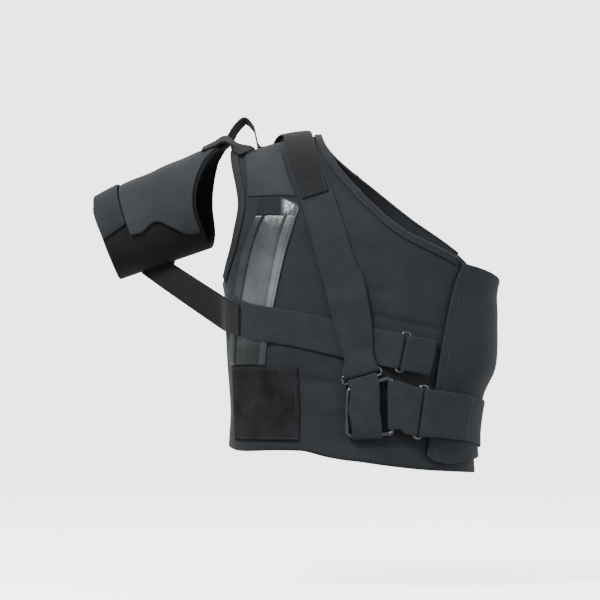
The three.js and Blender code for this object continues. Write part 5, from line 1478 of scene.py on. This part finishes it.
band_around, band_along = grid(110, 24)
band_turn, band_s, band_lift = band_spot(band_around, band_along)
band_rim = smooth(np.minimum(np.minimum(band_along, 1 - band_along) * 8,
                             np.minimum(band_around, 1 - band_around) * 30))
band_outer = on_cuff(band_turn, band_s, band_lift + CUFF_BAND_WALL * mix(0.7, 1.0, band_rim))
band_inner = on_cuff(band_turn, band_s, band_lift)
piece(cloth_mesh("cuff_band_webbing", band_outer, band_inner, lengths(band_outer)), webbing, "webbing",
      "cuff_band")
cuff_share = np.linspace(0.02, 0.98, SEAM_STEPS)
cuff_lines = []
for around, along in ((cuff_share, 0.06), (cuff_share, 0.94), (0.975, cuff_share)):
    turn, s, lift = band_spot(*np.broadcast_arrays(around, along))
    cuff_lines.append(on_cuff(turn, s, lift + CUFF_BAND_WALL))
for around, along in ((cuff_share, 0.04), (cuff_share, 0.96), (0.975, cuff_share)):
    turn, s = cuff_flap_spot(*np.broadcast_arrays(around, along))
    cuff_lines.append(on_cuff(turn, s, ON_CUFF + CUFF_FLAP_WALL + cuff_ease(turn, s)))
stitches("cuff_stitches", cuff_lines, slot="webbing")

# Strap under the arm
# Black webbing leaves the sleeve's underside and crosses the gap to the front of the vest, where its
# end lies on the arm strap.
UNDER_STRAP_START = 0.585
ON_ARM_STRAP = OVER_POCKET + WEBBING + SEAT_GAP + 1.2
PULL_SPREAD = 0.94
PULL_TURNS = (224, 214, 204, 194, 184, 174)
PULL_UPPER_STOPS = ((-0.965, -0.454), (-0.925, -0.468), (-0.845, -0.486))
PULL_LOWER_STOPS = ((-0.965, -0.558), (-0.925, -0.567), (-0.845, -0.580))


def drawn_line(stops, count):
    line = smooth_line(stops)
    return points_at(np.linspace(0, len(line) - 1, count), np.arange(len(line)), line)


def pull_edge(s, stops):
    on_arm = [on_cuff(turn, s, ON_CUFF + WEBBING / 2 + 0.4) for turn in PULL_TURNS]
    on_chest = [lay(*placed(across, up), ON_ARM_STRAP) for across, up in stops]
    return drawn_line(on_arm + on_chest, 121)


def ribbon(name, face, out, material, slot, node):
    """Webbing on both sides of a face of points, with the way out of it at each."""
    outer, inner = face + out * WEBBING / 2, face - out * WEBBING / 2
    piece(cloth_mesh(name, outer, inner, lengths(face), bulge=WEBBING_BULGE), material, slot, node)


pull_upper = pull_edge(UNDER_STRAP_START * CUFF_LENGTH, PULL_UPPER_STOPS)
pull_lower = pull_edge(UNDER_STRAP_START * CUFF_LENGTH + STRAP_WIDTH * PULL_SPREAD, PULL_LOWER_STOPS)
pull_sideways = (pull_lower - pull_upper)[:, None]
pull_face = pull_upper[:, None] + pull_sideways * np.linspace(0, 1, 17)[None, :, None]
pull_out = unit(np.cross(np.broadcast_to(pull_sideways, pull_face.shape), np.gradient(pull_face, axis=0)))
ribbon("cuff_pull_strap_webbing", pull_face, pull_out, dark_webbing, "dark_webbing", "cuff_pull_strap")

# Shoulder joint and slack loop
# A short dark strap joins the cuff's top to the vest's shoulder. Behind it a slack loop of webbing
# stands up between the two.
JOINT_WIDTH = 26.0
LOOP_WIDTH = 22.0
JOINT_TURN = 14
JOINT_LIFT = ON_CUFF + CUFF_FLAP_WALL + WEBBING / 2 + 0.6
LOOP_TURN = -26


def cuff_tangent(turn):
    return arm_front * math.cos(math.radians(turn)) - arm_top * math.sin(math.radians(turn))


joint_foot = placed(-0.83, -0.040)
joint_stops = [
    on_cuff(JOINT_TURN, 12, JOINT_LIFT),
    on_cuff(JOINT_TURN, -6, JOINT_LIFT),
    on_cuff(JOINT_TURN, -23, JOINT_LIFT + 0.5),
    lay(*placed(-0.92, -0.030), ON_VEST + BINDING_WALL + SEAT_GAP + 6),
    lay(*joint_foot, ON_VEST + PANEL_WALL + SEAT_GAP + 2.4),
]
loop_foot = placed(-0.66, -0.024, BEHIND)
loop_stops = [
    on_cuff(LOOP_TURN, 2, ON_CUFF + CUFF_FLAP_WALL + WEBBING / 2 + 0.7),
    on_cuff(LOOP_TURN, -16, ON_CUFF + CUFF_FLAP_WALL + SEAT_GAP + WEBBING / 2 + 4),
    np.array([-0.918 * HALF_CHEST, 36, 0.056 * VEST_HEIGHT]),
    np.array([-0.858 * HALF_CHEST, 36, 0.075 * VEST_HEIGHT]),
    np.array([-0.795 * HALF_CHEST, 36, 0.052 * VEST_HEIGHT]),
    lay(*placed(-0.73, -0.028, BEHIND), ON_VEST + WEBBING / 2 + 4),
    lay(*loop_foot, ON_VEST + WEBBING / 2),
]


def turning_face(stops, width, aside_from, aside_to):
    """A face of points along stops, whose way across turns from one direction to another."""
    line = drawn_line(stops, 97)
    run = unit(np.gradient(line, axis=0))
    share = np.linspace(0, 1, len(line))[:, None]
    aside = mix(np.asarray(aside_from)[None, :], np.asarray(aside_to)[None, :], share)
    aside = unit(aside - dot(aside, run) * run)
    out = np.cross(run, aside)
    across = (np.linspace(0, 1, 13) - 0.5)[None, :, None] * width
    return line[:, None] + aside[:, None] * across, out[:, None]


joint_down = unit(-slopes(*joint_foot)[1])
ribbon("shoulder_joint_tape", *turning_face(joint_stops, JOINT_WIDTH, cuff_tangent(JOINT_TURN), joint_down),
       dark_webbing, "binding_tape", "shoulder_joint")
loop_down = unit(-slopes(*loop_foot)[1])
ribbon("slack_loop_webbing", *turning_face(loop_stops, LOOP_WIDTH, -cuff_tangent(LOOP_TURN), loop_down),
       webbing, "webbing", "slack_loop")
